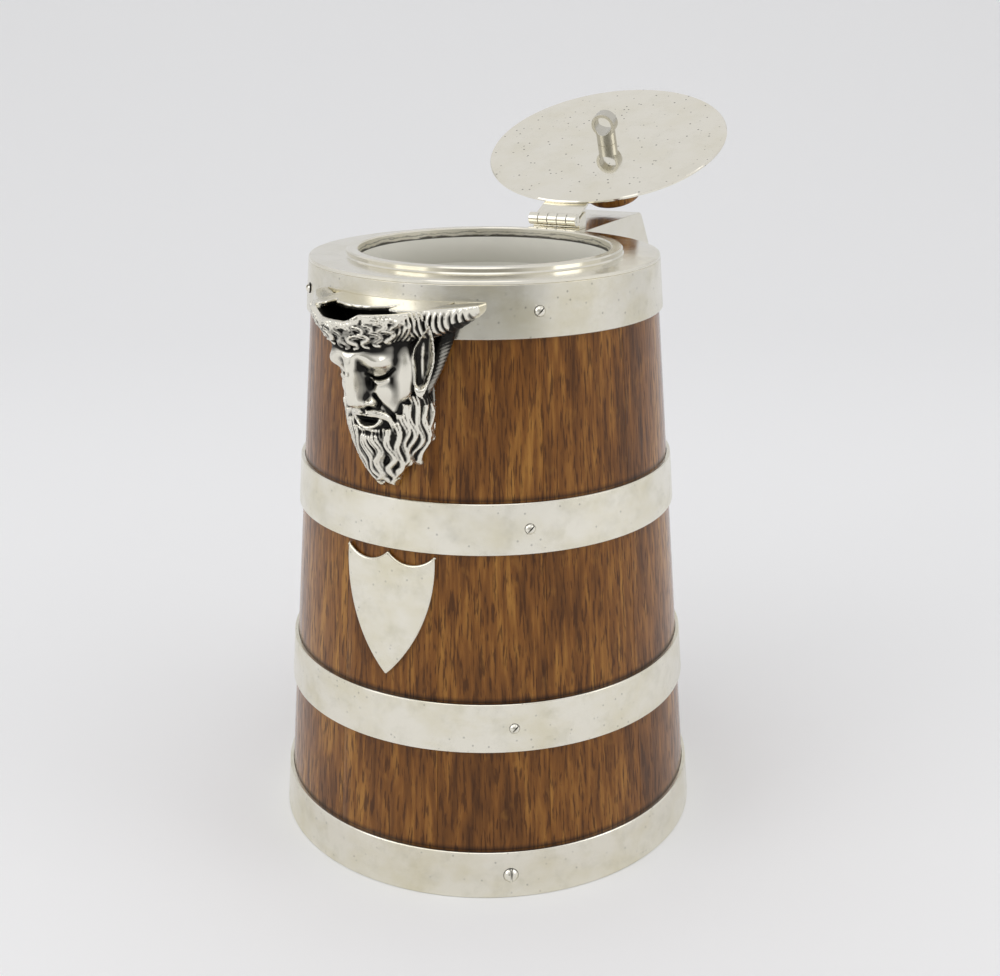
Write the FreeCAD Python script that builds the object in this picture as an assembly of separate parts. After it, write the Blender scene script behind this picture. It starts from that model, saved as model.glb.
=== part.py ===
import FreeCAD, Part
import math
import os
from FreeCAD import Matrix, Placement, Rotation, Vector

# Coopered oak wine pitcher with plated bands, a satyr mask spout and a hinged lid.
# Millimetres. Origin on the pitcher's axis at the resting plane, +Z up,
# the spout towards -Y and the handle towards +Y. The lid is stored open.

# Coopered body
rim_height = 232.0
oak_foot_radius = 85.3
oak_rim_radius = 65.9
stave_count = 12
stave_wall = 10.0
stave_joint_gap = 0.1
stave_foot_gap = 0.4
stave_head_gap = 0.6
croze_height = 8.0
croze_width = 6.0
croze_depth = 3.0
board_gap = 0.3

# Bands
band_wall = 1.4
band_gap = 0.1
band_edge = 0.3
rim_band_width = 20.0
beard_gap = 3.7
hoop_spacing = 75.7
hoop_width = 19.0
foot_hoop_width = 18.7

# Rim plate, its raised lip and its collar
plate_wall = 1.2
lip_radius = 53.1
lip_height = 2.3
lip_edge = 0.5
mouth_radius = 48.7
collar_wall = 1.0
collar_depth = 6.5

# Ceramic liner
liner_gap = 0.4
liner_wall = 4.0
liner_floor = 5.0
liner_foot_gap = 7.3
liner_head_gap = 0.3

# Mask spout: share of height, half width and reach from the beard's tip up to the pouring lip
spout_turn = -2.5
mask_height = 65.5
mask_drop = 7.0
mask_reach = 100.5
mask_half_width = 22.0
mask_wall = 2.4
mask_seat_gap = 0.1
mask_root = 12.0
mask_section_shares = [(0.0, 0.12, 0.745), (0.05, 0.2, 0.8), (0.2, 0.38, 0.85), (0.34, 0.52, 0.9),
                       (0.46, 0.6, 0.915), (0.58, 0.68, 0.925), (0.74, 0.76, 0.965), (0.84, 0.82, 0.965),
                       (1.0, 1.0, 1.0)]
mask_front_share = 0.98
mask_back_share = 0.85
bowl_floor_share = 0.62
bowl_floor_width_share = 0.5
bowl_floor_reach_share = 0.88
shelf_wall = 1.8
shelf_sink = 0.5
shelf_reach = 83.5
shelf_side_reach = 80.0
shelf_cusp_reach = 76.0
shelf_half_width = 23.5
shelf_cusp_share = 0.55
horn_root_radius = 6.0
horn_tip_radius = 1.3
horn_root_turn = 12.0
horn_tip_turn = 28.0
horn_root_reach = 76.0
horn_tip_reach = 70.5
horn_root_drop = 5.0
horn_tip_drop = 1.4
ear_half_height = 12.5
ear_half_width = 3.0
ear_half_depth = 6.0
ear_height_share = 0.75
ear_reach_share = 0.775
ear_width_share = 0.76
nose_half_height = 9.0
nose_half_width = 3.8
nose_half_depth = 6.0
nose_height_share = 0.6
nose_reach_share = 0.925
passage_half_width = 12.5
passage_height = 16.0
passage_drop = 13.0
mask_pin_radius = 1.2
mask_pin_length = 9.0
mask_pin_height_shares = [0.2, 0.5]

# Shield plaque
shield_width = 36.5
shield_height = 48.0
shield_top_gap = 1.0
shield_wall = 1.6
shield_seat_gap = 0.1
shield_scallop_share = 0.085
shield_bulge_share = 0.9
shield_shoulder_share = 0.42
shield_pin_radius = 0.8
shield_pin_length = 6.0
shield_pin_height_shares = [0.3, 0.7]

# Band screws: first angle from the spout and count for each band
screw_head_radius = 2.0
screw_head_height = 1.3
screw_shank_radius = 1.1
screw_length = 8.0
screw_slot = 0.6
screw_slot_depth = 0.6
screw_fit = 0.05
foot_screw_head_radius = 2.9
foot_screw_head_height = 1.9
rim_screw_turn = 42.0
rim_screw_count = 4
upper_screw_turn = 38.0
lower_screw_turn = 33.0
foot_screw_turn = 31.6
hoop_screw_count = 3
slant_slot_turn = 45.0
upright_slot_turn = 90.0

# Handle: a hollow angular loop with a screwed foot
handle_width = 28.0
handle_wall = 1.5
handle_top_drop = 0.4
handle_arm_depth = 15.6
handle_grip_depth = 14.0
handle_reach = 139.0
handle_belly_reach = 152.0
handle_belly_drop = 17.0
handle_waist_reach = 146.0
handle_waist_drop = 72.0
handle_foot_drop = 6.65
handle_foot_depth = 18.0
handle_root = 6.0
handle_corner = 6.0
handle_seat_gap = 0.1
handle_fit = 0.1
foot_plate_wall = 1.6
foot_plate_width = 34.0
foot_plate_height = 38.0
foot_plate_drop = 0.615
foot_plate_corner = 7.0
foot_plate_screw_inset = 5.0

# Hinge
hinge_reach = 67.5
lid_open_turn = 157.0
barrel_radius = 2.6
barrel_length = 21.6
knuckle_count = 5
knuckle_gap = 0.2
pin_radius = 1.0
pin_fit = 0.05
leaf_wall = 1.2
leaf_half_width = 10.0
leaf_lap = 8.0
leaf_clearance = 0.4
hinge_block_back = 10.0
stop_clearance = 0.3

# Lid, finial and the eye nut that holds it
lid_radius = 54.6
lid_wall = 1.4
lid_edge = 0.4
lid_seat_gap = 0.3
finial_radius = 13.0
finial_height = 26.4
finial_edge = 2.2
stud_radius = 2.0
stud_fit = 0.1
stud_in_finial = 16.0
stud_in_nut = 3.4
eye_outer_radius = 5.5
eye_hole_radius = 3.9
eye_length = 5.2
eye_stand = 9.2
eye_neck_radius = 4.4

# One overrun serves all cuts
overrun = 1.0

# Places worked out from the sizes
oak_taper = (oak_foot_radius - oak_rim_radius) / rim_height
cone_tilt = math.degrees(math.atan(oak_taper))
plate_low = rim_height - plate_wall
band_stand = band_gap + band_wall
rim_band_low = rim_height - rim_band_width
lip_top = rim_height + lip_height
lid_low = lip_top + lid_seat_gap
lid_top = lid_low + lid_wall
hinge_height = lid_top
mask_top = rim_height - mask_drop
mask_lip = mask_top - shelf_wall
mask_low = mask_lip - mask_height
upper_hoop_low = mask_low - beard_gap - hoop_width
lower_hoop_low = upper_hoop_low - hoop_spacing
hoops_middle = (upper_hoop_low + lower_hoop_low + hoop_width) / 2
liner_foot_radius = oak_foot_radius - stave_wall - liner_foot_gap
passage_top = rim_height - passage_drop
passage_low = passage_top - passage_height
shield_top = upper_hoop_low - shield_top_gap
shield_low = shield_top - shield_height
handle_top = rim_height - handle_top_drop
handle_waist_height = rim_height - handle_waist_drop
handle_foot_height = hoops_middle - handle_foot_drop
foot_plate_stand = handle_seat_gap + foot_plate_wall
X_AXIS = Vector(1, 0, 0)
Y_AXIS = Vector(0, 1, 0)
Z_AXIS = Vector(0, 0, 1)
ORIGIN = Vector(0, 0, 0)


# Radius of the oak's outer cone at a height
def oak_radius(z):
    return oak_foot_radius - oak_taper * z


# Radius of the staves' inner cone at a height
def stave_inner_radius(z):
    return oak_radius(z) - stave_wall


# Point at a radius and height, turned from the spout towards +X
def around(radius, turn, z):
    a = math.radians(turn)
    return Vector(radius * math.sin(a), -radius * math.cos(a), z)


# Outward direction square to the cone
def cone_normal(turn):
    tilt = math.radians(cone_tilt)
    return around(math.cos(tilt), turn, math.sin(tilt))


# Face in the plane of the axis from (radius, height) points
def profile_face(points):
    corners = [Vector(r, 0, z) for r, z in points]
    return Part.Face(Part.makePolygon(corners + corners[:1]))


# Solid of revolution from (radius, height) points
def turned(points, start=0.0, sweep=360.0):
    face = profile_face(points)
    face.rotate(ORIGIN, Z_AXIS, start)
    return face.revolve(ORIGIN, Z_AXIS, sweep)


# Outline of straight runs whose corners are rounded by the radius given with each point
def rounded_face(points, radii):
    count = len(points)
    starts, ends, arcs = [], [], []
    for i in range(count):
        here = Vector(*points[i])
        back = (Vector(*points[i - 1]) - here).normalize()
        ahead = (Vector(*points[(i + 1) % count]) - here).normalize()
        half_turn = back.getAngle(ahead) / 2
        cut = radii[i] / math.tan(half_turn)
        middle = (back + ahead).normalize()
        apex = here + middle * (radii[i] / math.sin(half_turn) - radii[i])
        starts.append(here + back * cut)
        ends.append(here + ahead * cut)
        arcs.append(apex)
    edges = []
    for i in range(count):
        if radii[i] > 0:
            edges.append(Part.Arc(starts[i], arcs[i], ends[i]).toShape())
        edges.append(Part.LineSegment(ends[i], starts[(i + 1) % count]).toShape())
    return Part.Face(Part.Wire(edges))


# Polyline moved sideways by a distance, to the left of its direction, with mitred corners
def moved_sideways(points, distance):
    moved = []
    last = len(points) - 1
    for i, (u, v) in enumerate(points):
        before = points[max(i - 1, 0)]
        after = points[min(i + 1, last)]
        normals = []
        for (u0, v0), (u1, v1) in ((before, (u, v)), ((u, v), after)):
            run = math.hypot(u1 - u0, v1 - v0)
            if run > 0:
                normals.append((-(v1 - v0) / run, (u1 - u0) / run))
        nu = sum(n[0] for n in normals) / len(normals)
        nv = sum(n[1] for n in normals) / len(normals)
        scale = distance / (nu * nu + nv * nv)
        moved.append((u + nu * scale, v + nv * scale))
    return moved


# Conical strip that lies on the staves, with eased outer edges
def conical_band(low, high):
    inner_low = oak_radius(low) + band_gap
    inner_high = oak_radius(high) + band_gap
    return turned([
        (inner_low, low),
        (inner_low + band_wall - band_edge, low),
        (oak_radius(low + band_edge) + band_stand, low + band_edge),
        (oak_radius(high - band_edge) + band_stand, high - band_edge),
        (inner_high + band_wall - band_edge, high),
        (inner_high, high)])


# Solid of all space inside the cone that stands off the oak by a distance
def cone_core(stand, low, high):
    return turned([(0, low), (oak_radius(low) + stand, low), (oak_radius(high) + stand, high), (0, high)])


# Domed head on +Z with a slot, and a shank below it
def screw(head_radius, head_height, slot_turn):
    ball = (head_radius ** 2 + head_height ** 2) / (2 * head_height)
    lean = math.asin(head_radius / ball) / 2
    mid = Vector(ball * math.sin(lean), 0, head_height - ball + ball * math.cos(lean))
    edge = Vector(head_radius, 0, 0)
    crown = Vector(0, 0, head_height)
    outline = Part.Wire([
        Part.LineSegment(ORIGIN, edge).toShape(),
        Part.Arc(edge, mid, crown).toShape(),
        Part.LineSegment(crown, ORIGIN).toShape()])
    head = Part.Face(outline).revolve(ORIGIN, Z_AXIS, 360)
    slot_length = 2 * (head_radius + overrun)
    slot = Part.makeBox(slot_length, screw_slot, screw_slot_depth + overrun,
                        Vector(-slot_length / 2, -screw_slot / 2, head_height - screw_slot_depth))
    slot.rotate(ORIGIN, Z_AXIS, slot_turn)
    shank = Part.makeCylinder(screw_shank_radius, screw_length, ORIGIN, Vector(0, 0, -1))
    return head.cut(slot).fuse(shank).removeSplitter()


# Placement on the cone with +Z pointing out of it and +Y up the pitcher
def cone_place(stand, turn, z):
    out = cone_normal(turn)
    side = around(1, turn + 90, 0)
    up = out.cross(side)
    turned_axes = Rotation(side, up, out, "ZXY")
    return Placement(around(oak_radius(z) + stand, turn, z), turned_axes)


# Cylinder that clears a screw's or pin's shank on the cone
def shank_hole(radius, stand, turn, z, depth):
    hole = Part.makeCylinder(radius, depth + overrun, Vector(0, 0, -depth))
    hole.Placement = cone_place(stand, turn, z)
    return hole


# Screws of one band, spread evenly from the first, and the holes that they need
def band_screws(low, width, first_turn, count, head):
    z = low + width / 2
    screws, holes = [], []
    for i in range(count):
        turn = first_turn + 360.0 / count * i
        one = screw(*head)
        one.Placement = cone_place(band_stand, turn, z)
        screws.append(one)
        depth = screw_length + screw_fit
        holes.append(shank_hole(screw_shank_radius + screw_fit, band_stand, turn, z, depth))
    return Part.makeCompound(screws), Part.makeCompound(holes)


# Hole that the wine runs through, from the liner into the mask's bowl
def wall_passage():
    hole = Part.makeBox(2 * passage_half_width, mask_reach - mouth_radius / 2, passage_height,
                        Vector(-passage_half_width, -mask_reach, passage_low))
    hole.rotate(ORIGIN, Z_AXIS, spout_turn)
    return hole


# Staves with the groove for the base board
def make_staves(holes):
    low = stave_foot_gap
    high = plate_low - stave_head_gap
    groove_low = croze_height
    groove_high = croze_height + croze_width
    outline = [
        (oak_radius(low), low),
        (oak_radius(high), high),
        (stave_inner_radius(high), high),
        (stave_inner_radius(groove_high), groove_high),
        (stave_inner_radius(groove_high) + croze_depth, groove_high),
        (stave_inner_radius(groove_high) + croze_depth, groove_low),
        (stave_inner_radius(groove_low), groove_low),
        (stave_inner_radius(low), low)]
    pitch = 360.0 / stave_count
    gap = math.degrees(stave_joint_gap / oak_rim_radius)
    staves = {}
    for i in range(stave_count):
        start = spout_turn - 90.0 - pitch / 2 + gap / 2 + pitch * i
        staves[f"stave_{i + 1:02d}"] = turned(outline, start, pitch - gap).cut(holes)
    return staves


# Base board with a tongue in the staves' groove, its underside flush with the foot
def make_base_board():
    tongue_low = croze_height + board_gap
    tongue_high = croze_height + croze_width - board_gap
    inner = stave_inner_radius(croze_height + croze_width) - board_gap
    tongue = inner + croze_depth
    return turned([(0, 0), (inner, 0), (inner, tongue_low), (tongue, tongue_low),
                   (tongue, tongue_high), (0, tongue_high)])


# Ceramic liner with a hole for the spout
def make_liner():
    low = croze_height + croze_width - board_gap
    high = plate_low - liner_head_gap
    inner_high = mouth_radius + collar_wall + liner_gap
    inner_low = liner_foot_radius - liner_wall
    cup = turned([
        (0, low),
        (liner_foot_radius, low),
        (inner_high + liner_wall, high),
        (inner_high, high),
        (inner_low, low + liner_floor),
        (0, low + liner_floor)])
    return cup.cut(wall_passage())


# Flat rim plate with its raised lip and the collar that dips into the liner
def make_rim_plate():
    outer = oak_radius(rim_height) + band_stand
    collar_outer = mouth_radius + collar_wall
    return turned([
        (outer, plate_low),
        (outer, rim_height - band_edge),
        (outer - band_edge, rim_height),
        (lip_radius + lip_edge, rim_height),
        (lip_radius, rim_height + lip_edge),
        (lip_radius, lip_top - lip_edge),
        (lip_radius - lip_edge, lip_top),
        (mouth_radius + lip_edge, lip_top),
        (mouth_radius, lip_top - lip_edge),
        (mouth_radius, rim_height - collar_depth),
        (collar_outer, rim_height - collar_depth),
        (collar_outer, plate_low)])


# Closed section of the mask at a height: a round front and a straight back inside the body
def mask_section(z, half_width, reach):
    back = -(oak_radius(z) - mask_root)
    back_half = half_width * mask_back_share
    shoulder = half_width * mask_front_share - reach
    left = Vector(-half_width, shoulder, z)
    right = Vector(half_width, shoulder, z)
    root_left = Vector(-back_half, back, z)
    root_right = Vector(back_half, back, z)
    front = Vector(0, -reach, z)
    return Part.Wire([
        Part.LineSegment(root_left, left).toShape(),
        Part.Arc(left, front, right).toShape(),
        Part.LineSegment(right, root_right).toShape(),
        Part.LineSegment(root_right, root_left).toShape()])


# Ellipsoid with its own half sizes
def ellipsoid(half_x, half_y, half_z, centre):
    stretch = Matrix()
    stretch.scale(half_x, half_y, half_z)
    stretch.move(centre)
    return Part.makeSphere(1).transformGeometry(stretch)


# Ruled horn from its root beside the forehead to its tip at the rim band
def make_horn(side):
    root = around(horn_root_reach, side * horn_root_turn, mask_top - horn_root_drop)
    tip = around(horn_tip_reach, side * horn_tip_turn, mask_top - horn_tip_drop)
    along = (tip - root).normalize()
    rings = [Part.Wire(Part.makeCircle(horn_root_radius, root, along)),
             Part.Wire(Part.makeCircle(horn_tip_radius, tip, along))]
    return Part.makeLoft(rings, True, True)


# Shelf over the back of the bowl, with its cusped front edge
def make_shelf():
    cusp = shelf_half_width * shelf_cusp_share
    end = -oak_radius(mask_top) + mask_root
    half_lobe = (shelf_half_width + cusp) / 2
    low = mask_lip - shelf_sink
    p = [Vector(-shelf_half_width, end, low), Vector(-shelf_half_width, -shelf_side_reach, low),
         Vector(-cusp, -shelf_cusp_reach, low), Vector(cusp, -shelf_cusp_reach, low),
         Vector(shelf_half_width, -shelf_side_reach, low), Vector(shelf_half_width, end, low)]
    lobes = [Vector(-half_lobe, -shelf_reach, low), Vector(0, -shelf_reach, low),
             Vector(half_lobe, -shelf_reach, low)]
    outline = Part.Wire([
        Part.LineSegment(p[0], p[1]).toShape(),
        Part.Arc(p[1], lobes[0], p[2]).toShape(),
        Part.Arc(p[2], lobes[1], p[3]).toShape(),
        Part.Arc(p[3], lobes[2], p[4]).toShape(),
        Part.LineSegment(p[4], p[5]).toShape(),
        Part.LineSegment(p[5], p[0]).toShape()])
    return Part.Face(outline).extrude(Vector(0, 0, shelf_sink + shelf_wall))


# Cast mask: a hollow wedge whose bowl pours over the forehead
def make_mask(holes):
    sections = []
    for height_share, width_share, reach_share in mask_section_shares:
        z = mask_low + mask_height * height_share
        sections.append(mask_section(z, mask_half_width * width_share, mask_reach * reach_share))
    head = Part.makeLoft(sections, True, False)
    floor = mask_low + mask_height * bowl_floor_share
    bowl_top = mask_lip + overrun
    bowl_width = mask_half_width - mask_wall
    bowl_reach = mask_reach - mask_wall
    bowl = Part.makeLoft([
        mask_section(floor, bowl_width * bowl_floor_width_share, bowl_reach * bowl_floor_reach_share),
        mask_section(mask_lip - mask_wall, bowl_width, bowl_reach),
        mask_section(bowl_top, bowl_width, bowl_reach)], True, True)
    nose = ellipsoid(nose_half_width, nose_half_depth, nose_half_height,
                     Vector(0, -mask_reach * nose_reach_share, mask_low + mask_height * nose_height_share))
    mask = head.fuse(nose)
    for side in (-1, 1):
        ear = ellipsoid(ear_half_width, ear_half_depth, ear_half_height,
                        Vector(side * mask_half_width * ear_width_share, -mask_reach * ear_reach_share,
                               mask_low + mask_height * ear_height_share))
        mask = mask.fuse(ear).fuse(make_horn(side))
    mask = mask.cut(bowl).fuse(make_shelf())
    mask.rotate(ORIGIN, Z_AXIS, spout_turn)
    above = Part.makeBox(2 * mask_reach, 2 * mask_reach, mask_reach,
                         Vector(-mask_reach, -2 * mask_reach, mask_top))
    band_core = cone_core(band_stand + mask_seat_gap, rim_band_low - mask_seat_gap, rim_height + overrun)
    oak_core = cone_core(mask_seat_gap, 0, rim_height)
    return mask.cut(above).cut(band_core).cut(oak_core).cut(holes).removeSplitter()


# Two pins that hold the mask to the front stave, and their holes
def make_mask_pins():
    pins, holes = [], []
    for share in mask_pin_height_shares:
        place = cone_place(0, spout_turn, mask_low + mask_height * share)
        for radius, made in ((mask_pin_radius, pins), (mask_pin_radius + screw_fit, holes)):
            pin = Part.makeCylinder(radius, mask_pin_length, Vector(0, 0, -mask_pin_length / 2))
            pin.Placement = place
            made.append(pin)
    return Part.makeCompound(pins), Part.makeCompound(holes)


# Outline of the shield as a prism that reaches out of the body
def shield_prism():
    half = shield_width / 2
    dip = shield_height * shield_scallop_share
    shoulder = shield_top - shield_height * shield_shoulder_share
    tips = [Vector(-half, 0, shield_top), Vector(0, 0, shield_top), Vector(half, 0, shield_top)]
    dips = [Vector(-half / 2, 0, shield_top - dip), Vector(half / 2, 0, shield_top - dip)]
    point = Vector(0, 0, shield_low)
    sides = [Vector(half * shield_bulge_share, 0, shoulder), Vector(-half * shield_bulge_share, 0, shoulder)]
    outline = Part.Wire([
        Part.Arc(tips[0], dips[0], tips[1]).toShape(),
        Part.Arc(tips[1], dips[1], tips[2]).toShape(),
        Part.Arc(tips[2], sides[0], point).toShape(),
        Part.Arc(point, sides[1], tips[0]).toShape()])
    prism = Part.Face(outline).extrude(Vector(0, -2 * oak_foot_radius, 0))
    prism.rotate(ORIGIN, Z_AXIS, spout_turn)
    return prism


# Shield plaque curved to the body, its pins and their holes in the oak
def make_shield():
    low = shield_low - overrun
    high = shield_top + overrun
    shell = cone_core(shield_seat_gap + shield_wall, low, high).cut(
        cone_core(shield_seat_gap, low - overrun, high + overrun))
    plaque = shell.common(shield_prism())
    pins, holes = [], []
    hole_radius = shield_pin_radius + screw_fit
    hole_depth = shield_pin_length + screw_fit
    for share in shield_pin_height_shares:
        z = shield_low + shield_height * share
        pin = Part.makeCylinder(shield_pin_radius, shield_pin_length, Vector(0, 0, -shield_pin_length))
        pin.Placement = cone_place(0, spout_turn, z)
        pins.append(pin)
        holes.append(shank_hole(hole_radius, 0, spout_turn, z, hole_depth))
    return plaque, Part.makeCompound(pins), Part.makeCompound(holes)


# Outer and inner lines of the handle's loop, as (reach, height), from the rim round to the foot
def handle_lines():
    start = mouth_radius
    foot = oak_radius(handle_foot_height) - handle_root
    arm_low = handle_top - handle_arm_depth
    outer = [(start, handle_top), (handle_reach, handle_top),
             (handle_belly_reach, handle_top - handle_belly_drop),
             (handle_waist_reach, handle_waist_height),
             (foot, handle_foot_height - handle_foot_depth / 2)]
    inner = [(start, arm_low), (handle_reach - handle_corner, arm_low),
             (handle_belly_reach - handle_grip_depth, arm_low - handle_corner),
             (handle_waist_reach - handle_grip_depth, handle_waist_height + handle_corner),
             (foot, handle_foot_height + handle_foot_depth / 2)]
    return outer, inner


# Prism between two lines of the loop, centred on the plane of the handle
def loop_prism(outer, inner, width, outer_corner, inner_corner):
    points = [(0, y, z) for y, z in outer] + [(0, y, z) for y, z in reversed(inner)]
    outer_radii = [0] + [outer_corner] * (len(outer) - 2) + [0]
    inner_radii = [0] + [inner_corner] * (len(inner) - 2) + [0]
    prism = rounded_face(points, outer_radii + inner_radii).extrude(Vector(width, 0, 0))
    prism.translate(Vector(-width / 2, 0, 0))
    return prism


# Handle shell, a channel open on its inner side, and the strap that closes it
def make_handle():
    outer, inner = handle_lines()
    shell = loop_prism(outer, inner, handle_width, handle_corner, handle_corner)
    pocket_outer = moved_sideways(outer, -handle_wall)
    pocket_inner = moved_sideways(inner, -handle_wall)
    pocket_width = handle_width - 2 * handle_wall
    pocket = loop_prism(pocket_outer, moved_sideways(inner, -overrun), pocket_width,
                        handle_corner - handle_wall, handle_corner)
    strap = loop_prism(moved_sideways(inner, handle_wall), inner, pocket_width - 2 * handle_fit,
                       handle_corner + handle_wall, handle_corner)
    body = cone_core(band_stand + handle_seat_gap, rim_band_low - handle_seat_gap, rim_height + overrun).fuse(
        cone_core(foot_plate_wall + 2 * handle_seat_gap, 0, handle_waist_height))
    shell = shell.cut(pocket).cut(body)
    return shell.removeSplitter(), strap.cut(body).removeSplitter()


# Height where a line of the handle comes down to the outer face of the foot plate
def foot_plate_meet(line):
    (upper_reach, upper_height), (low_reach, low_height) = line[-2:]
    gap = oak_radius(low_height) + foot_plate_stand - low_reach
    rise = upper_height - low_height
    return low_height + rise * gap / (upper_reach - low_reach + oak_taper * rise)


# Plate under the handle's foot, its screws and their holes
def make_handle_foot():
    outer, inner = handle_lines()
    middle = (foot_plate_meet(outer) + foot_plate_meet(inner)) / 2 - foot_plate_drop
    low = middle - foot_plate_height / 2
    high = middle + foot_plate_height / 2
    half = foot_plate_width / 2
    corners = [(-half, 0, low), (half, 0, low), (half, 0, high), (-half, 0, high)]
    plate_face = rounded_face(corners, [foot_plate_corner] * len(corners))
    prism = plate_face.extrude(Vector(0, 2 * oak_foot_radius, 0))
    shell = cone_core(foot_plate_stand, low - overrun, high + overrun).cut(
        cone_core(handle_seat_gap, low - 2 * overrun, high + 2 * overrun))
    screws, holes = [], []
    for z in (low + foot_plate_screw_inset, high - foot_plate_screw_inset):
        one = screw(screw_head_radius, screw_head_height, slant_slot_turn)
        one.Placement = cone_place(foot_plate_stand, 180, z)
        screws.append(one)
        holes.append(shank_hole(screw_shank_radius + screw_fit, foot_plate_stand, 180, z,
                                screw_length + screw_fit))
    holes = Part.makeCompound(holes)
    return shell.common(prism).cut(holes), Part.makeCompound(screws), holes


# Spans of the hinge's knuckles along X
def knuckle_spans():
    width = (barrel_length - knuckle_gap * (knuckle_count - 1)) / knuckle_count
    lows = [-barrel_length / 2 + (width + knuckle_gap) * i for i in range(knuckle_count)]
    return [(low, low + width) for low in lows]


# Prism along X of (y, z) points
def cross_prism(points, low, high):
    corners = [Vector(low, y, z) for y, z in points]
    return Part.Face(Part.makePolygon(corners + corners[:1])).extrude(Vector(high - low, 0, 0))


# Tube of one knuckle
def knuckle(low, high):
    end = Vector(low, hinge_reach, hinge_height)
    width = high - low
    tube = Part.makeCylinder(barrel_radius, width, end, X_AXIS)
    hole = Part.makeCylinder(pin_radius + pin_fit, width + 2 * overrun, end - X_AXIS * overrun, X_AXIS)
    return tube, hole


# Fixed hinge block on the handle, sloped to stop the open lid
def make_hinge_base():
    front = hinge_reach + barrel_radius + leaf_clearance
    back = hinge_reach + hinge_block_back
    lean = math.radians(180 - lid_open_turn)
    drop = (leaf_wall + stop_clearance) / math.cos(lean)
    tops = [hinge_height + (y - hinge_reach) * math.tan(lean) - drop for y in (front, back)]
    half = barrel_length / 2
    side = [(front, handle_top), (back, handle_top), (back, tops[1]), (front, tops[0])]
    base = cross_prism(side, -half, half)
    web_low = hinge_height - barrel_radius
    for low, high in knuckle_spans()[::2]:
        tube, hole = knuckle(low, high)
        web = cross_prism([(hinge_reach, web_low), (front, web_low), (front, hinge_height - leaf_wall),
                           (hinge_reach, hinge_height - leaf_wall)], low, high)
        base = base.fuse(tube).fuse(web).cut(hole)
    return base.removeSplitter()


# Moving hinge leaf, modelled with the lid closed: a strap on the lid's outer face
def make_hinge_leaf():
    free_edge = hinge_reach - barrel_radius - leaf_clearance
    lap_edge = lid_radius - leaf_lap
    leaf = Part.makeBox(2 * leaf_half_width, free_edge - lap_edge, leaf_wall,
                        Vector(-leaf_half_width, lap_edge, hinge_height))
    for low, high in knuckle_spans()[1::2]:
        tube, hole = knuckle(low, high)
        neck = Part.makeBox(high - low, hinge_reach - free_edge, leaf_wall,
                            Vector(low, free_edge, hinge_height))
        leaf = leaf.fuse(neck).fuse(tube).cut(hole)
    return leaf.removeSplitter()


# Lid disc with eased edges and a hole for the finial's stud
def make_lid_disc():
    hole = stud_radius + stud_fit
    return turned([(hole, lid_low), (lid_radius - lid_edge, lid_low), (lid_radius, lid_low + lid_edge),
                   (lid_radius, lid_top - lid_edge), (lid_radius - lid_edge, lid_top), (hole, lid_top)])


# Oak finial drum with a rounded top edge and a blind hole
def make_finial():
    top = lid_top + finial_height
    lean = math.radians(45)
    inset = finial_edge * (1 - math.sin(lean))
    corners = [
        Vector(finial_radius - finial_edge, 0, top),
        Vector(0, 0, top),
        Vector(0, 0, lid_top),
        Vector(finial_radius, 0, lid_top),
        Vector(finial_radius, 0, top - finial_edge)]
    edge_mid = Vector(finial_radius - inset, 0, top - inset)
    rounding = Part.Arc(corners[-1], edge_mid, corners[0]).toShape()
    outline = Part.Wire(Part.makePolygon(corners).Edges + [rounding])
    drum = Part.Face(outline).revolve(ORIGIN, Z_AXIS, 360)
    hole = Part.makeCylinder(stud_radius + stud_fit, stud_in_finial + stud_fit, Vector(0, 0, lid_top))
    return drum.cut(hole)


# Threaded stud that ties the finial to the eye nut
def make_finial_stud():
    return Part.makeCylinder(stud_radius, stud_in_nut + lid_wall + stud_in_finial,
                             Vector(0, 0, lid_low - stud_in_nut))


# Eye nut under the lid: a short tube on a round neck
def make_eye_nut():
    centre = lid_low - eye_stand
    neck = Part.makeCylinder(eye_neck_radius, eye_stand, Vector(0, 0, centre))
    eye = Part.makeCylinder(eye_outer_radius, eye_length, Vector(0, -eye_length / 2, centre), Y_AXIS)
    hole_length = 2 * (eye_neck_radius + eye_outer_radius)
    hole = Part.makeCylinder(eye_hole_radius, hole_length, Vector(0, -hole_length / 2, centre), Y_AXIS)
    socket_depth = stud_in_nut + stud_fit
    socket = Part.makeCylinder(stud_radius + stud_fit, socket_depth, Vector(0, 0, lid_low - socket_depth))
    return neck.fuse(eye).cut(hole).cut(socket).removeSplitter()


# Swing a piece of the lid from closed to the stored open pose
def opened(shape):
    swung = shape.copy()
    swung.rotate(Vector(0, hinge_reach, hinge_height), X_AXIS, -lid_open_turn)
    return swung


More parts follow.
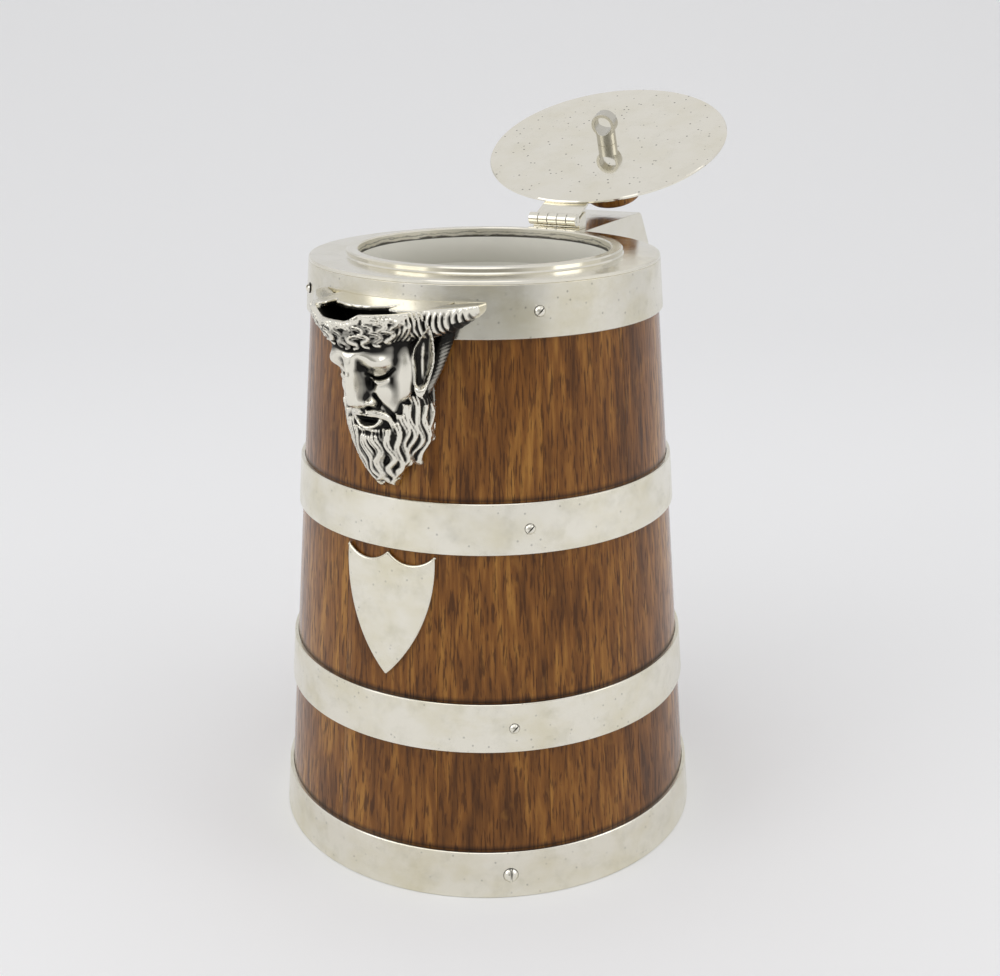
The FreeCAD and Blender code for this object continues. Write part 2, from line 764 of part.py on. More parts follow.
# Build every piece under its own name
def make_pieces():
    small_head = (screw_head_radius, screw_head_height, slant_slot_turn)
    foot_head = (foot_screw_head_radius, foot_screw_head_height, upright_slot_turn)
    rim_screws, rim_holes = band_screws(rim_band_low, rim_band_width - plate_wall, rim_screw_turn,
                                        rim_screw_count, small_head)
    upper_screws, upper_holes = band_screws(upper_hoop_low, hoop_width, upper_screw_turn,
                                            hoop_screw_count, small_head)
    lower_screws, lower_holes = band_screws(lower_hoop_low, hoop_width, lower_screw_turn,
                                            hoop_screw_count, small_head)
    foot_screws, foot_holes = band_screws(0, foot_hoop_width, foot_screw_turn, hoop_screw_count, foot_head)
    mask_pins, mask_holes = make_mask_pins()
    shield, shield_pins, shield_holes = make_shield()
    handle_foot, handle_screws, handle_holes = make_handle_foot()
    handle_shell, handle_strap = make_handle()
    oak_holes = Part.makeCompound([rim_holes, upper_holes, lower_holes, foot_holes, mask_holes, shield_holes,
                                   handle_holes])
    pieces = make_staves(oak_holes)
    pieces["stave_01"] = pieces["stave_01"].cut(wall_passage())
    pieces["base_board"] = make_base_board()
    pieces["liner"] = make_liner()
    pieces["rim_plate"] = make_rim_plate()
    pieces["rim_band"] = conical_band(rim_band_low, plate_low).cut(wall_passage()).cut(rim_holes)
    pieces["upper_hoop"] = conical_band(upper_hoop_low, upper_hoop_low + hoop_width).cut(upper_holes)
    pieces["lower_hoop"] = conical_band(lower_hoop_low, lower_hoop_low + hoop_width).cut(lower_holes)
    pieces["foot_hoop"] = conical_band(0, foot_hoop_width).cut(foot_holes)
    pieces["rim_screws"] = rim_screws
    pieces["upper_hoop_screws"] = upper_screws
    pieces["lower_hoop_screws"] = lower_screws
    pieces["foot_hoop_screws"] = foot_screws
    pieces["mask_spout"] = make_mask(mask_holes)
    pieces["mask_pins"] = mask_pins
    pieces["shield_plaque"] = shield
    pieces["shield_pins"] = shield_pins
    pieces["handle_shell"] = handle_shell
    pieces["handle_strap"] = handle_strap
    pieces["handle_foot"] = handle_foot
    pieces["handle_foot_screws"] = handle_screws
    pieces["hinge_base"] = make_hinge_base()
    pieces["hinge_pin"] = Part.makeCylinder(pin_radius, barrel_length,
                                            Vector(-barrel_length / 2, hinge_reach, hinge_height), X_AXIS)
    pieces["hinge_leaf"] = opened(make_hinge_leaf())
    pieces["lid_disc"] = opened(make_lid_disc())
    pieces["finial"] = opened(make_finial())
    pieces["finial_stud"] = opened(make_finial_stud())
    pieces["eye_nut"] = opened(make_eye_nut())
    return pieces


os.makedirs("parts", exist_ok=True)
for name, shape in make_pieces().items():
    shape.exportStep(f"parts/{name}.step")
    print(name, len(shape.Solids), round(shape.Volume), shape.isValid())
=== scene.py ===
"""Looks of a coopered oak pitcher with plated bands, a satyr mask spout and a hinged lid."""

import itertools
import math

import bmesh
import bpy
import numpy as np
from mathutils import Matrix, Vector


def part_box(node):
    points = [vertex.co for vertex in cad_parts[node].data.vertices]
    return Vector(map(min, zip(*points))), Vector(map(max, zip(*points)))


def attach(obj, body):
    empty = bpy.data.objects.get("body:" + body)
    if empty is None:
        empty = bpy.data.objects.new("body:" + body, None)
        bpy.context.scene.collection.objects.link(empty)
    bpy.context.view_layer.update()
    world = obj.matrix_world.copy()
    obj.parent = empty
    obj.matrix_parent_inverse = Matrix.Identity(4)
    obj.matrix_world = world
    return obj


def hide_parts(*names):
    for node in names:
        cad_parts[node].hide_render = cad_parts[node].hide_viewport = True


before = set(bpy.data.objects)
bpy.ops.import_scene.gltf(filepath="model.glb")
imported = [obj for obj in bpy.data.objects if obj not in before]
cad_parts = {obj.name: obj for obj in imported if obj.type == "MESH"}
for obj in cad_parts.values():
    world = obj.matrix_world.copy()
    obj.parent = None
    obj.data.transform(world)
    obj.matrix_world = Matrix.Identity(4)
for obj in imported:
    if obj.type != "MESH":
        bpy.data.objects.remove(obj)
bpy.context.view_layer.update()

bl_info = {
    "name": "Oak pitcher",
    "version": (1, 0, 0),
    "blender": (4, 5, 0),
    "location": "View3D > Sidebar > Pitcher",
    "description": "Dresses a coopered oak pitcher around its packed frame",
    "category": "Object",
}

# Lengths are in metres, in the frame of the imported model
MM = 0.001
RIM_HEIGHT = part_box("rim_plate")[1].z
SPOUT_TURN = math.radians(-2.5)

# Nodes that are dressed alike
STAVE_COUNT = 12
STAVE_NODES = [f"stave_{i + 1:02d}" for i in range(STAVE_COUNT)]
HOOP_NODES = ("upper_hoop", "lower_hoop", "foot_hoop")
BAND_NODES = ("rim_band",) + HOOP_NODES
PLATE_NODES = ("handle_shell", "handle_strap", "handle_foot", "hinge_base")

# Each plain stave shows its own part of the log: place of the first one and the step to the next
FIRST_BOARD = (71 * MM, 0, 330 * MM)
NEXT_BOARD = (83 * MM, 29 * MM, 410 * MM)

# Mouth in the rim plate, and the glaze skin that covers its collar and meets the liner's bore
MOUTH_RADIUS = 48.7 * MM
PLATE_TOP = 232.0 * MM
SKIN_GAP = 0.08 * MM
SKIN_WALL = 0.2 * MM
SKIN_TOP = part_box("liner")[1].z - 0.1 * MM
SKIN_BEND = PLATE_TOP - 6.9 * MM
SKIN_FOOT = PLATE_TOP - 12.4 * MM
LINER_BORE = 50.78 * MM

# Rounding of single pieces' edges, and the eye nut's even tarnish
STAVE_EASE = 0.25 * MM
BOARD_EASE = 0.4 * MM
EYE_EASE = 0.25 * MM
SHIELD_EASE = 0.8 * MM
SHIELD_CORNER = math.radians(50)
EYE_TARNISH = 0.41

# Ends of a colour ramp that is used as a share
BLACK, WHITE = (0.0, 0.0, 0.0, 1.0), (1.0, 1.0, 1.0, 1.0)


class PitcherSizes(bpy.types.PropertyGroup):
    """Sizes that a user would change"""
    oak_foot_radius: bpy.props.FloatProperty(
        name="Oak foot radius", description="Radius of the staves' outer cone at the foot",
        default=85.3 * MM, unit="LENGTH")
    oak_rim_radius: bpy.props.FloatProperty(
        name="Oak rim radius", description="Radius of the staves' outer cone at the rim",
        default=65.9 * MM, unit="LENGTH")
    band_stand: bpy.props.FloatProperty(
        name="Band stand", description="How far the bands' outer faces stand off the oak",
        default=1.5 * MM, unit="LENGTH")
    edge_ease: bpy.props.FloatProperty(
        name="Edge ease", description="Rounding of the plated pieces' worn edges",
        default=0.35 * MM, unit="LENGTH")
    foot_ease: bpy.props.FloatProperty(
        name="Foot ease", description="Rounding of the foot hoop's edges", default=0.8 * MM, unit="LENGTH")
    mask_grain: bpy.props.FloatProperty(
        name="Mask grain", description="Spacing of the lattice that the mask is modelled on",
        default=0.43 * MM, unit="LENGTH")


class PitcherFinishes(bpy.types.PropertyGroup):
    """Colours that a user would change, as sRGB hex values"""
    oak_dark: bpy.props.StringProperty(name="Oak dark", description="Pores and late wood", default="44260C")
    oak_mid: bpy.props.StringProperty(name="Oak mid", description="Body of the fumed oak", default="7C4E1F")
    oak_light: bpy.props.StringProperty(
        name="Oak light", description="Early wood and ray flecks", default="A37233")
    silver: bpy.props.StringProperty(name="Silver", description="Polished silver plate", default="EBE7DA")
    oxide: bpy.props.StringProperty(name="Oxide", description="Dark silver in the recesses", default="2A2927")
    glaze: bpy.props.StringProperty(name="Glaze", description="Cream glaze of the liner", default="F4F2E8")
    paper: bpy.props.StringProperty(name="Paper", description="Floor paper", default="F2F2F2")
    tent: bpy.props.StringProperty(name="Tent", description="Pale cloth round the stage", default="E8E8EA")
    tent_gap: bpy.props.StringProperty(
        name="Tent gap", description="Dimmer side that the camera stands in", default="A4A4A2")


def linear(code):
    """Linear colour with alpha from an sRGB hex value"""
    parts = [int(code[i:i + 2], 16) / 255 for i in (0, 2, 4)]
    return tuple(p / 12.92 if p <= 0.04045 else ((p + 0.055) / 1.055) ** 2.4 for p in parts) + (1.0,)


def grey(value):
    """Grey with alpha"""
    return (value, value, value, 1.0)


def dimmed(colour, share):
    """Colour at a share of its brightness"""
    return tuple(share * c for c in colour[:3]) + (1.0,)


def add_node(tree, kind, inputs=None, stops=(), **settings):
    """Add a node; inputs maps a socket to a value or another node's output, and stops are a ramp's colours"""
    node = tree.nodes.new(kind)
    for name, value in settings.items():
        setattr(node, name, value)
    for socket, source in (inputs or {}).items():
        if isinstance(source, bpy.types.NodeSocket):
            tree.links.new(source, node.inputs[socket])
        else:
            node.inputs[socket].default_value = source
    if stops:
        elements = node.color_ramp.elements
        while len(elements) < len(stops):
            elements.new(0.5)
        for element, (position, colour) in zip(elements, stops):
            element.position = position
            element.color = colour
    return node


def new_material(name):
    """Node material with its tree and shader"""
    material = bpy.data.materials.new(name)
    material.use_nodes = True
    tree = material.node_tree
    return material, tree, tree.nodes["Principled BSDF"]


def cloudy(tree, vector, size, stretch=(1, 1, 1), detail=4.0, rough=0.55):
    """Cloudy pattern whose patches are a real size across, drawn out along an axis by a stretch"""
    scale = tuple(1 / (size * s) for s in stretch)
    mapped = add_node(tree, "ShaderNodeMapping", {"Vector": vector, "Scale": scale})
    clouds = add_node(tree, "ShaderNodeTexNoise", {
        "Vector": mapped.outputs[0], "Scale": 1.0, "Detail": detail, "Roughness": rough})
    return clouds.outputs["Fac"]


def fumed_oak(finishes, name):
    """Fumed and varnished oak: open pores draw fine dark dashes along the grain under a warm gloss"""
    material, tree, shader = new_material(name)
    dark, mid, light = (linear(c) for c in (finishes.oak_dark, finishes.oak_mid, finishes.oak_light))
    # The grain wanders a little to either side
    grain = add_node(tree, "ShaderNodeAttribute", attribute_name="grain").outputs["Vector"]
    wander = cloudy(tree, grain, 9 * MM, (1, 1, 9), 2.0)
    sway = add_node(tree, "ShaderNodeVectorMath", {0: (2.2 * MM, 0, 0), 3: wander}, operation="SCALE")
    bent = add_node(tree, "ShaderNodeVectorMath", {0: grain, 1: sway.outputs[0]}, operation="ADD").outputs[0]
    # Broad tone of the board under stripes of early and late wood
    board = cloudy(tree, grain, 24 * MM, (1, 1, 5), 2.0)
    stripes = cloudy(tree, bent, 2.4 * MM, (1, 1, 60), 3.0)
    tone = add_node(tree, "ShaderNodeMath", {0: stripes, 1: 0.7, 2: -0.1}, operation="MULTIPLY_ADD")
    tone = add_node(tree, "ShaderNodeMath", {0: board, 1: 0.5, 2: tone.outputs[0]}, operation="MULTIPLY_ADD")
    colour = add_node(tree, "ShaderNodeValToRGB", {0: tone.outputs[0]},
                      stops=[(0.27, dark), (0.5, mid), (0.67, light)]).outputs[0]
    # Pale ray flecks and dark open pores, which are drawn wider than real ones so that they show
    flecks = cloudy(tree, bent, 5.0 * MM, (1.2, 1, 2.4), 2.0, 0.6)
    pores = cloudy(tree, bent, 0.8 * MM, (1, 1, 30), 3.0, 0.5)
    marks = [(flecks, 0.6, 0.68, 0.22, light), (pores, 0.53, 0.62, 0.78, dark)]
    for mark, low, high, strength, tint in marks:
        shown = add_node(tree, "ShaderNodeValToRGB", {0: mark}, stops=[(low, BLACK), (high, WHITE)])
        share = add_node(tree, "ShaderNodeMath", {0: shown.outputs[0], 1: strength}, operation="MULTIPLY")
        colour = add_node(tree, "ShaderNodeMix", {0: share.outputs[0], 6: colour, 7: tint},
                          data_type="RGBA").outputs[2]
    # Painted shade: a dark line just above each hoop, where the gap between hoop and oak lies in shadow
    place = add_node(tree, "ShaderNodeTexCoord").outputs["Object"]
    height = add_node(tree, "ShaderNodeSeparateXYZ", {0: place}).outputs["Z"]
    level = add_node(tree, "ShaderNodeMath", {0: height, 1: 1 / RIM_HEIGHT}, operation="MULTIPLY").outputs[0]
    stops = [(0.0, WHITE)]
    for top in sorted(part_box(node)[1].z for node in HOOP_NODES):
        stops.append(((top - 0.3 * MM) / RIM_HEIGHT, WHITE))
        stops.append(((top + 0.2 * MM) / RIM_HEIGHT, (0.12, 0.1, 0.09, 1)))
        stops.append(((top + 2.2 * MM) / RIM_HEIGHT, WHITE))
    hoop_gap_shade = add_node(tree, "ShaderNodeValToRGB", {0: level}, stops=stops).outputs[0]
    gap_shaded_oak = add_node(tree, "ShaderNodeMix", {0: 1.0, 6: colour, 7: hoop_gap_shade}, data_type="RGBA",
                      blend_type="MULTIPLY")
    tree.links.new(gap_shaded_oak.outputs[2], shader.inputs["Base Color"])
    # Varnish
    sheen = add_node(tree, "ShaderNodeValToRGB", {0: pores},
                     stops=[(0.4, grey(0.34)), (0.7, grey(0.5))]).outputs[0]
    tree.links.new(sheen, shader.inputs["Roughness"])
    bump = add_node(tree, "ShaderNodeBump", {"Strength": 0.12, "Distance": 0.08 * MM, "Height": pores},
                    invert=True)
    tree.links.new(bump.outputs[0], shader.inputs["Normal"])
    shader.inputs["Specular IOR Level"].default_value = 0.15
    shader.inputs["Coat Weight"].default_value = 0.8
    shader.inputs["Coat IOR"].default_value = 1.22
    shader.inputs["Coat Roughness"].default_value = 0.14
    return material


def streaked(tree, place, colour, dark, mouth):
    """Colour with dark streaks inside the mouth, given its radius and top, and the share that lies inside"""
    radius, top = mouth
    flat = add_node(tree, "ShaderNodeVectorMath", {0: place, 1: (1, 1, 0)}, operation="MULTIPLY").outputs[0]
    out = add_node(tree, "ShaderNodeVectorMath", {0: flat}, operation="LENGTH").outputs["Value"]
    inner = add_node(tree, "ShaderNodeMath", {0: out, 1: radius + 0.2 * MM}, operation="LESS_THAN").outputs[0]
    height = add_node(tree, "ShaderNodeSeparateXYZ", {0: place}).outputs["Z"]
    length = 9 * MM
    drop = add_node(tree, "ShaderNodeMath", {0: height, 1: -1 / length, 2: top / length},
                    operation="MULTIPLY_ADD")
    smear = cloudy(tree, place, 2.2 * MM, (4, 4, 1), 4.0, 0.6)
    ragged = add_node(tree, "ShaderNodeMath", {0: smear, 1: 0.35, 2: drop.outputs[0]},
                      operation="MULTIPLY_ADD")
    levels = [(0.1, 0.0), (0.14, 0.6), (0.18, 0.05), (0.24, 0.1), (0.3, 0.9), (0.38, 0.75), (0.5, 0.2)]
    streak = add_node(tree, "ShaderNodeValToRGB", {0: ragged.outputs[0]},
                      stops=[(at, grey(much)) for at, much in levels]).outputs[0]
    share = add_node(tree, "ShaderNodeMath", {0: streak, 1: inner}, operation="MULTIPLY").outputs[0]
    return add_node(tree, "ShaderNodeMix", {0: share, 6: colour, 7: dark}, data_type="RGBA").outputs[2], inner


def silver_plate(finishes, name, gloss, specks=0.0, tarnish=0.35, mouth=None):
    """Polished silver plate: bright and faintly warm, with soft smudges, yellow tarnish and dark pits"""
    material, tree, shader = new_material(name)
    place = add_node(tree, "ShaderNodeTexCoord").outputs["Object"]
    # Yellow smudges and grey clouds
    smudge = cloudy(tree, place, 22 * MM, (1, 1, 0.7), 5.0, 0.6)
    stain = cloudy(tree, place, 9 * MM, (1, 1, 1), 6.0, 0.65)
    bright = linear(finishes.silver)
    yellow = tuple(c * k for c, k in zip(bright, (0.86, 0.83, 0.7, 1.0)))
    tint = add_node(tree, "ShaderNodeValToRGB", {0: smudge},
                    stops=[(0.42, bright), (0.72, yellow)]).outputs[0]
    clouded = add_node(tree, "ShaderNodeMix", {0: tarnish, 6: bright, 7: tint}, data_type="RGBA").outputs[2]
    cloud = add_node(tree, "ShaderNodeValToRGB", {0: stain},
                     stops=[(0.5, WHITE), (0.75, (0.84, 0.84, 0.81, 1))]).outputs[0]
    clouded = add_node(tree, "ShaderNodeMix", {0: tarnish, 6: clouded, 7: cloud}, data_type="RGBA",
                       blend_type="MULTIPLY").outputs[2]
    if mouth:
        clouded, inner = streaked(tree, place, clouded, linear(finishes.oxide), mouth)
    # Pits in some of the cells, drawn larger than real ones so that they show
    cells = add_node(tree, "ShaderNodeTexVoronoi", {
        "Vector": place, "Scale": 1 / (2.8 * MM), "Randomness": 1.0})
    pit = add_node(tree, "ShaderNodeValToRGB", {0: cells.outputs["Distance"]},
                   stops=[(0.1, WHITE), (0.18, BLACK)]).outputs[0]
    sparse = add_node(tree, "ShaderNodeValToRGB", {0: cells.outputs["Color"]},
                      stops=[(0.5, BLACK), (0.66, WHITE)]).outputs[0]
    spot = add_node(tree, "ShaderNodeMix", {0: 1.0, 6: pit, 7: sparse}, data_type="RGBA",
                    blend_type="MULTIPLY")
    amount = add_node(tree, "ShaderNodeMath", {0: spot.outputs[2], 1: specks}, operation="MULTIPLY")
    marked = add_node(tree, "ShaderNodeMix", {0: amount.outputs[0], 6: clouded, 7: linear(finishes.oxide)},
                      data_type="RGBA")
    tree.links.new(marked.outputs[2], shader.inputs["Base Color"])
    # Polish, duller where it is stained and inside the mouth
    rough = add_node(tree, "ShaderNodeValToRGB", {0: stain},
                     stops=[(0.35, grey(gloss)), (0.75, grey(gloss + 0.12))]).outputs[0]
    if mouth:
        rough = add_node(tree, "ShaderNodeMath", {0: inner, 1: 0.32, 2: rough},
                         operation="MULTIPLY_ADD").outputs[0]
    tree.links.new(rough, shader.inputs["Roughness"])
    shader.inputs["Metallic"].default_value = 1.0
    return material


def oxidised_silver(finishes, name):
    """Oxidised silver: rubbed bright on the highs and dark in the recesses, led by a tarnish attribute"""
    material, tree, shader = new_material(name)
    depth = add_node(tree, "ShaderNodeAttribute", attribute_name="tarnish").outputs["Fac"]
    bright, dark = linear(finishes.silver), linear(finishes.oxide)
    tone = add_node(tree, "ShaderNodeValToRGB", {0: depth},
                    stops=[(0.3, bright), (0.5, dimmed(bright, 0.45)), (0.75, dark)]).outputs[0]
    tree.links.new(tone, shader.inputs["Base Color"])
    rough = add_node(tree, "ShaderNodeValToRGB", {0: depth},
                     stops=[(0.3, grey(0.17)), (0.7, grey(0.5))]).outputs[0]
    tree.links.new(rough, shader.inputs["Roughness"])
    shader.inputs["Metallic"].default_value = 1.0
    return material


def glazed_stoneware(finishes):
    """Cream glazed stoneware: a thick glossy glaze with slight clouds"""
    material, tree, shader = new_material("glazed_stoneware")
    place = add_node(tree, "ShaderNodeTexCoord").outputs["Object"]
    cream = linear(finishes.glaze)
    cloud = cloudy(tree, place, 30 * MM)
    tint = add_node(tree, "ShaderNodeValToRGB", {0: cloud},
                    stops=[(0.35, cream), (0.75, dimmed(cream, 0.93))]).outputs[0]
    tree.links.new(tint, shader.inputs["Base Color"])
    shader.inputs["Roughness"].default_value = 0.14
    shader.inputs["IOR"].default_value = 1.52
    return material


def finished(name, mesh, body, material, nodes):
    """Object from a mesh that rides on a body and stands for its nodes"""
    mesh.materials.clear()
    mesh.materials.append(material)
    piece = bpy.data.objects.new(name, mesh)
    bpy.context.scene.collection.objects.link(piece)
    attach(piece, body)
    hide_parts(*nodes)
    return piece


def shaded(bm, angle=math.radians(32)):
    """Smooth faces with a crease wherever they meet at more than an angle"""
    for face in bm.faces:
        face.smooth = True
    for edge in bm.edges:
        edge.smooth = not (edge.is_manifold and edge.calc_face_angle(0.0) > angle)


def eased_copy(node, ease, angle=math.radians(32), clamp=True):
    """Merged copy of a node's mesh with its hard edges rounded"""
    bm = bmesh.new()
    bm.from_mesh(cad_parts[node].data)
    bmesh.ops.remove_doubles(bm, verts=bm.verts, dist=0.001 * MM)
    bmesh.ops.dissolve_limit(bm, angle_limit=math.radians(0.3), verts=bm.verts, edges=bm.edges)
    if ease > 0:
        hard = [e for e in bm.edges if e.is_manifold and e.calc_face_angle(0.0) > angle]
        bmesh.ops.bevel(bm, geom=hard, offset=ease, offset_type="OFFSET", segments=3, profile=0.5,
                        affect="EDGES", clamp_overlap=clamp)
        bmesh.ops.remove_doubles(bm, verts=bm.verts, dist=0.002 * MM)
    shaded(bm)
    mesh = bpy.data.meshes.new(node + "_dressed")
    bm.to_mesh(mesh)
    bm.free()
    return mesh


def weigh_normals(piece):
    """Keep broad faces flat to the eye beside their rounded edges"""
    modifier = piece.modifiers.new("even_shading", "WEIGHTED_NORMAL")
    modifier.keep_sharp = True
    modifier.weight = 90


def dressed(node, body, material, ease):
    """Dressed piece in place of one node"""
    piece = finished(node + "_plate", eased_copy(node, ease), body, material, [node])
    weigh_normals(piece)
    return piece


def grain_attribute(mesh, centre, sideways):
    """Store a stave's grain coordinates: across the board, through it, and along it"""
    points = np.zeros(len(mesh.vertices) * 3, np.float32)
    mesh.vertices.foreach_get("co", points)
    points = points.reshape(-1, 3)
    turn = np.arctan2(points[:, 0], -points[:, 1]) - centre
    turn = (turn + math.pi) % (2 * math.pi) - math.pi
    reach = np.hypot(points[:, 0], points[:, 1])
    values = np.stack([turn * np.mean(reach), reach, points[:, 2]], 1) + np.array(sideways, np.float32)
    layer = mesh.attributes.new("grain", "FLOAT_VECTOR", "POINT")
    layer.data.foreach_set("vector", values.astype(np.float32).ravel())


def node_group(name, inputs):
    """Geometry node tree with named inputs"""
    tree = bpy.data.node_groups.new(name, "GeometryNodeTree")
    tree.is_modifier = True
    face = tree.interface
    face.new_socket("Geometry", in_out="INPUT", socket_type="NodeSocketGeometry")
    for socket_name, kind in inputs:
        face.new_socket(socket_name, in_out="INPUT", socket_type=kind)
    face.new_socket("Geometry", in_out="OUTPUT", socket_type="NodeSocketGeometry")
    return tree


def run_tree(tree, mesh, values):
    """Plain mesh that a geometry node tree makes of a mesh"""
    carrier = bpy.data.objects.new(tree.name, mesh)
    bpy.context.scene.collection.objects.link(carrier)
    modifier = carrier.modifiers.new(tree.name, "NODES")
    modifier.node_group = tree
    for item in tree.interface.items_tree:
        if item.in_out == "INPUT" and item.name in values:
            modifier[item.identifier] = values[item.name]
    bpy.context.view_layer.update()
    graph = bpy.context.evaluated_depsgraph_get()
    result = bpy.data.meshes.new_from_object(carrier.evaluated_get(graph), depsgraph=graph)
    carrier.modifiers.clear()
    bpy.data.objects.remove(carrier)
    return result


def stave_ring_tree():
    """Tree that sets copies of one stave round the body and gives each its own part of the log"""
    tree = node_group("stave_ring", [("Count", "NodeSocketInt"), ("Pitch", "NodeSocketFloat"),
                                     ("Board Shift", "NodeSocketVector"), ("Material", "NodeSocketMaterial")])
    start = add_node(tree, "NodeGroupInput")
    points = add_node(tree, "GeometryNodeMeshLine", {"Count": start.outputs["Count"], "Offset": (0, 0, 0)})
    index = add_node(tree, "GeometryNodeInputIndex").outputs[0]
    turn = add_node(tree, "ShaderNodeMath", {0: index, 1: start.outputs["Pitch"]}, operation="MULTIPLY")
    rotation = add_node(tree, "ShaderNodeCombineXYZ", {"Z": turn.outputs[0]})
    placed = add_node(tree, "GeometryNodeInstanceOnPoints", {
        "Points": points.outputs[0], "Instance": start.outputs["Geometry"], "Rotation": rotation.outputs[0]})
    number = add_node(tree, "GeometryNodeStoreNamedAttribute", {
        "Geometry": placed.outputs[0], "Name": "stave", "Value": index}, data_type="FLOAT", domain="INSTANCE")
    whole = add_node(tree, "GeometryNodeRealizeInstances", {"Geometry": number.outputs[0]})
    grain = add_node(tree, "GeometryNodeInputNamedAttribute", {"Name": "grain"}, data_type="FLOAT_VECTOR")
    stave = add_node(tree, "GeometryNodeInputNamedAttribute", {"Name": "stave"}, data_type="FLOAT")
    shift = add_node(tree, "ShaderNodeVectorMath", {0: start.outputs["Board Shift"], 3: stave.outputs[0]},
                     operation="SCALE")
    moved = add_node(tree, "ShaderNodeVectorMath", {0: grain.outputs[0], 1: shift.outputs[0]},
                     operation="ADD")
    logged = add_node(tree, "GeometryNodeStoreNamedAttribute", {
        "Geometry": whole.outputs[0], "Name": "grain", "Value": moved.outputs[0]},
        data_type="FLOAT_VECTOR", domain="POINT")
    coated = add_node(tree, "GeometryNodeSetMaterial", {
        "Geometry": logged.outputs[0], "Material": start.outputs["Material"]})
    add_node(tree, "NodeGroupOutput", {"Geometry": coated.outputs[0]})
    return tree


def screw_tree():
    """Tree that sets a screw head on each point, turned and sized by the point's attributes"""
    tree = node_group("screws", [("Head", "NodeSocketObject"), ("Material", "NodeSocketMaterial")])
    start = add_node(tree, "NodeGroupInput")
    head = add_node(tree, "GeometryNodeObjectInfo", {"Object": start.outputs["Head"]})
    rotation = add_node(tree, "GeometryNodeInputNamedAttribute", {"Name": "turn"}, data_type="FLOAT_VECTOR")
    size = add_node(tree, "GeometryNodeInputNamedAttribute", {"Name": "size"}, data_type="FLOAT_VECTOR")
    placed = add_node(tree, "GeometryNodeInstanceOnPoints", {
        "Points": start.outputs["Geometry"], "Instance": head.outputs["Geometry"],
        "Rotation": rotation.outputs[0], "Scale": size.outputs[0]})
    whole = add_node(tree, "GeometryNodeRealizeInstances", {"Geometry": placed.outputs[0]})
    coated = add_node(tree, "GeometryNodeSetMaterial", {
        "Geometry": whole.outputs[0], "Material": start.outputs["Material"]})
    add_node(tree, "NodeGroupOutput", {"Geometry": coated.outputs[0]})
    return tree


def oak_radius(sizes, z):
    """Radius of the oak's outer cone at a height"""
    return sizes.oak_foot_radius + (sizes.oak_rim_radius - sizes.oak_foot_radius) * z / RIM_HEIGHT


class PITCHER_OT_staves(bpy.types.Operator):
    """Ring of oak staves and the base board"""
    bl_idname = "pitcher.staves"
    bl_label = "Oak staves"

    def execute(self, context):
        finishes = context.scene.pitcher_finishes
        oak = fumed_oak(finishes, "fumed_oak")
        pitch = 2 * math.pi / STAVE_COUNT
        first = eased_copy("stave_01", STAVE_EASE)
        grain_attribute(first, SPOUT_TURN, (0, 0, 0))
        finished("front_stave", first, "pitcher", oak, ["stave_01"])
        plain = eased_copy("stave_02", STAVE_EASE)
        grain_attribute(plain, SPOUT_TURN + pitch, FIRST_BOARD)
        ring = run_tree(stave_ring_tree(), plain, {
            "Count": STAVE_COUNT - 1, "Pitch": pitch, "Board Shift": NEXT_BOARD, "Material": oak})
        finished("staves", ring, "pitcher", oak, STAVE_NODES[1:])
        board = eased_copy("base_board", BOARD_EASE)
        layer = board.attributes.new("grain", "FLOAT_VECTOR", "POINT")
        for vertex, value in zip(board.vertices, layer.data):
            value.vector = (vertex.co.x, vertex.co.z, vertex.co.y)
        finished("foot_board", board, "pitcher", oak, ["base_board"])
        return {"FINISHED"}


def add_glaze_skin(mesh, around=144):
    """Thin ring of glaze that covers the collar and thins out to the liner's wall above the spout's hole"""
    bm = bmesh.new()
    bm.from_mesh(mesh)
    outer = MOUTH_RADIUS - SKIN_GAP
    inner = outer - SKIN_WALL
    profile = [(LINER_BORE, SKIN_FOOT), (outer, SKIN_BEND), (outer, SKIN_TOP), (inner, SKIN_TOP),
               (inner, SKIN_BEND), (LINER_BORE - SKIN_WALL / 4, SKIN_FOOT)]
    angles = [2 * math.pi * k / around for k in range(around)]
    loops = []
    for radius, z in profile:
        loops.append([bm.verts.new((radius * math.cos(a), radius * math.sin(a), z)) for a in angles])
    for a, b in zip(loops, loops[1:] + loops[:1]):
        for k in range(around):
            j = (k + 1) % around
            bm.faces.new((a[k], a[j], b[j], b[k])).smooth = True
    bm.to_mesh(mesh)
    bm.free()


class PITCHER_OT_bands(bpy.types.Operator):
    """Four plated bands, the rim plate and the liner"""
    bl_idname = "pitcher.bands"
    bl_label = "Bands, rim plate and liner"

    def execute(self, context):
        sizes, finishes = context.scene.pitcher_sizes, context.scene.pitcher_finishes
        plate = silver_plate(finishes, "silver_plate_strip", 0.16, specks=0.35, tarnish=0.8)
        for node in BAND_NODES:
            ease = sizes.foot_ease if node == "foot_hoop" else sizes.edge_ease
            dressed(node, "pitcher", plate, ease)
        rim = silver_plate(finishes, "silver_plate_rim", 0.1, mouth=(MOUTH_RADIUS, PLATE_TOP))
        dressed("rim_plate", "pitcher", rim, 0.0)
        liner = dressed("liner", "pitcher", glazed_stoneware(finishes), sizes.edge_ease)
        add_glaze_skin(liner.data)
        return {"FINISHED"}


class PITCHER_OT_handle(bpy.types.Operator):
    """Hollow handle with its foot and the fixed half of the hinge"""
    bl_idname = "pitcher.handle"
    bl_label = "Handle and hinge"

    def execute(self, context):
        sizes, finishes = context.scene.pitcher_sizes, context.scene.pitcher_finishes
        plate = silver_plate(finishes, "silver_plate_handle", 0.1)
        for node in PLATE_NODES:
            dressed(node, "pitcher", plate, sizes.edge_ease)
        dressed("hinge_pin", "pitcher", plate, 0.0)
        dressed("hinge_leaf", "lid", plate, sizes.edge_ease / 2)
        return {"FINISHED"}


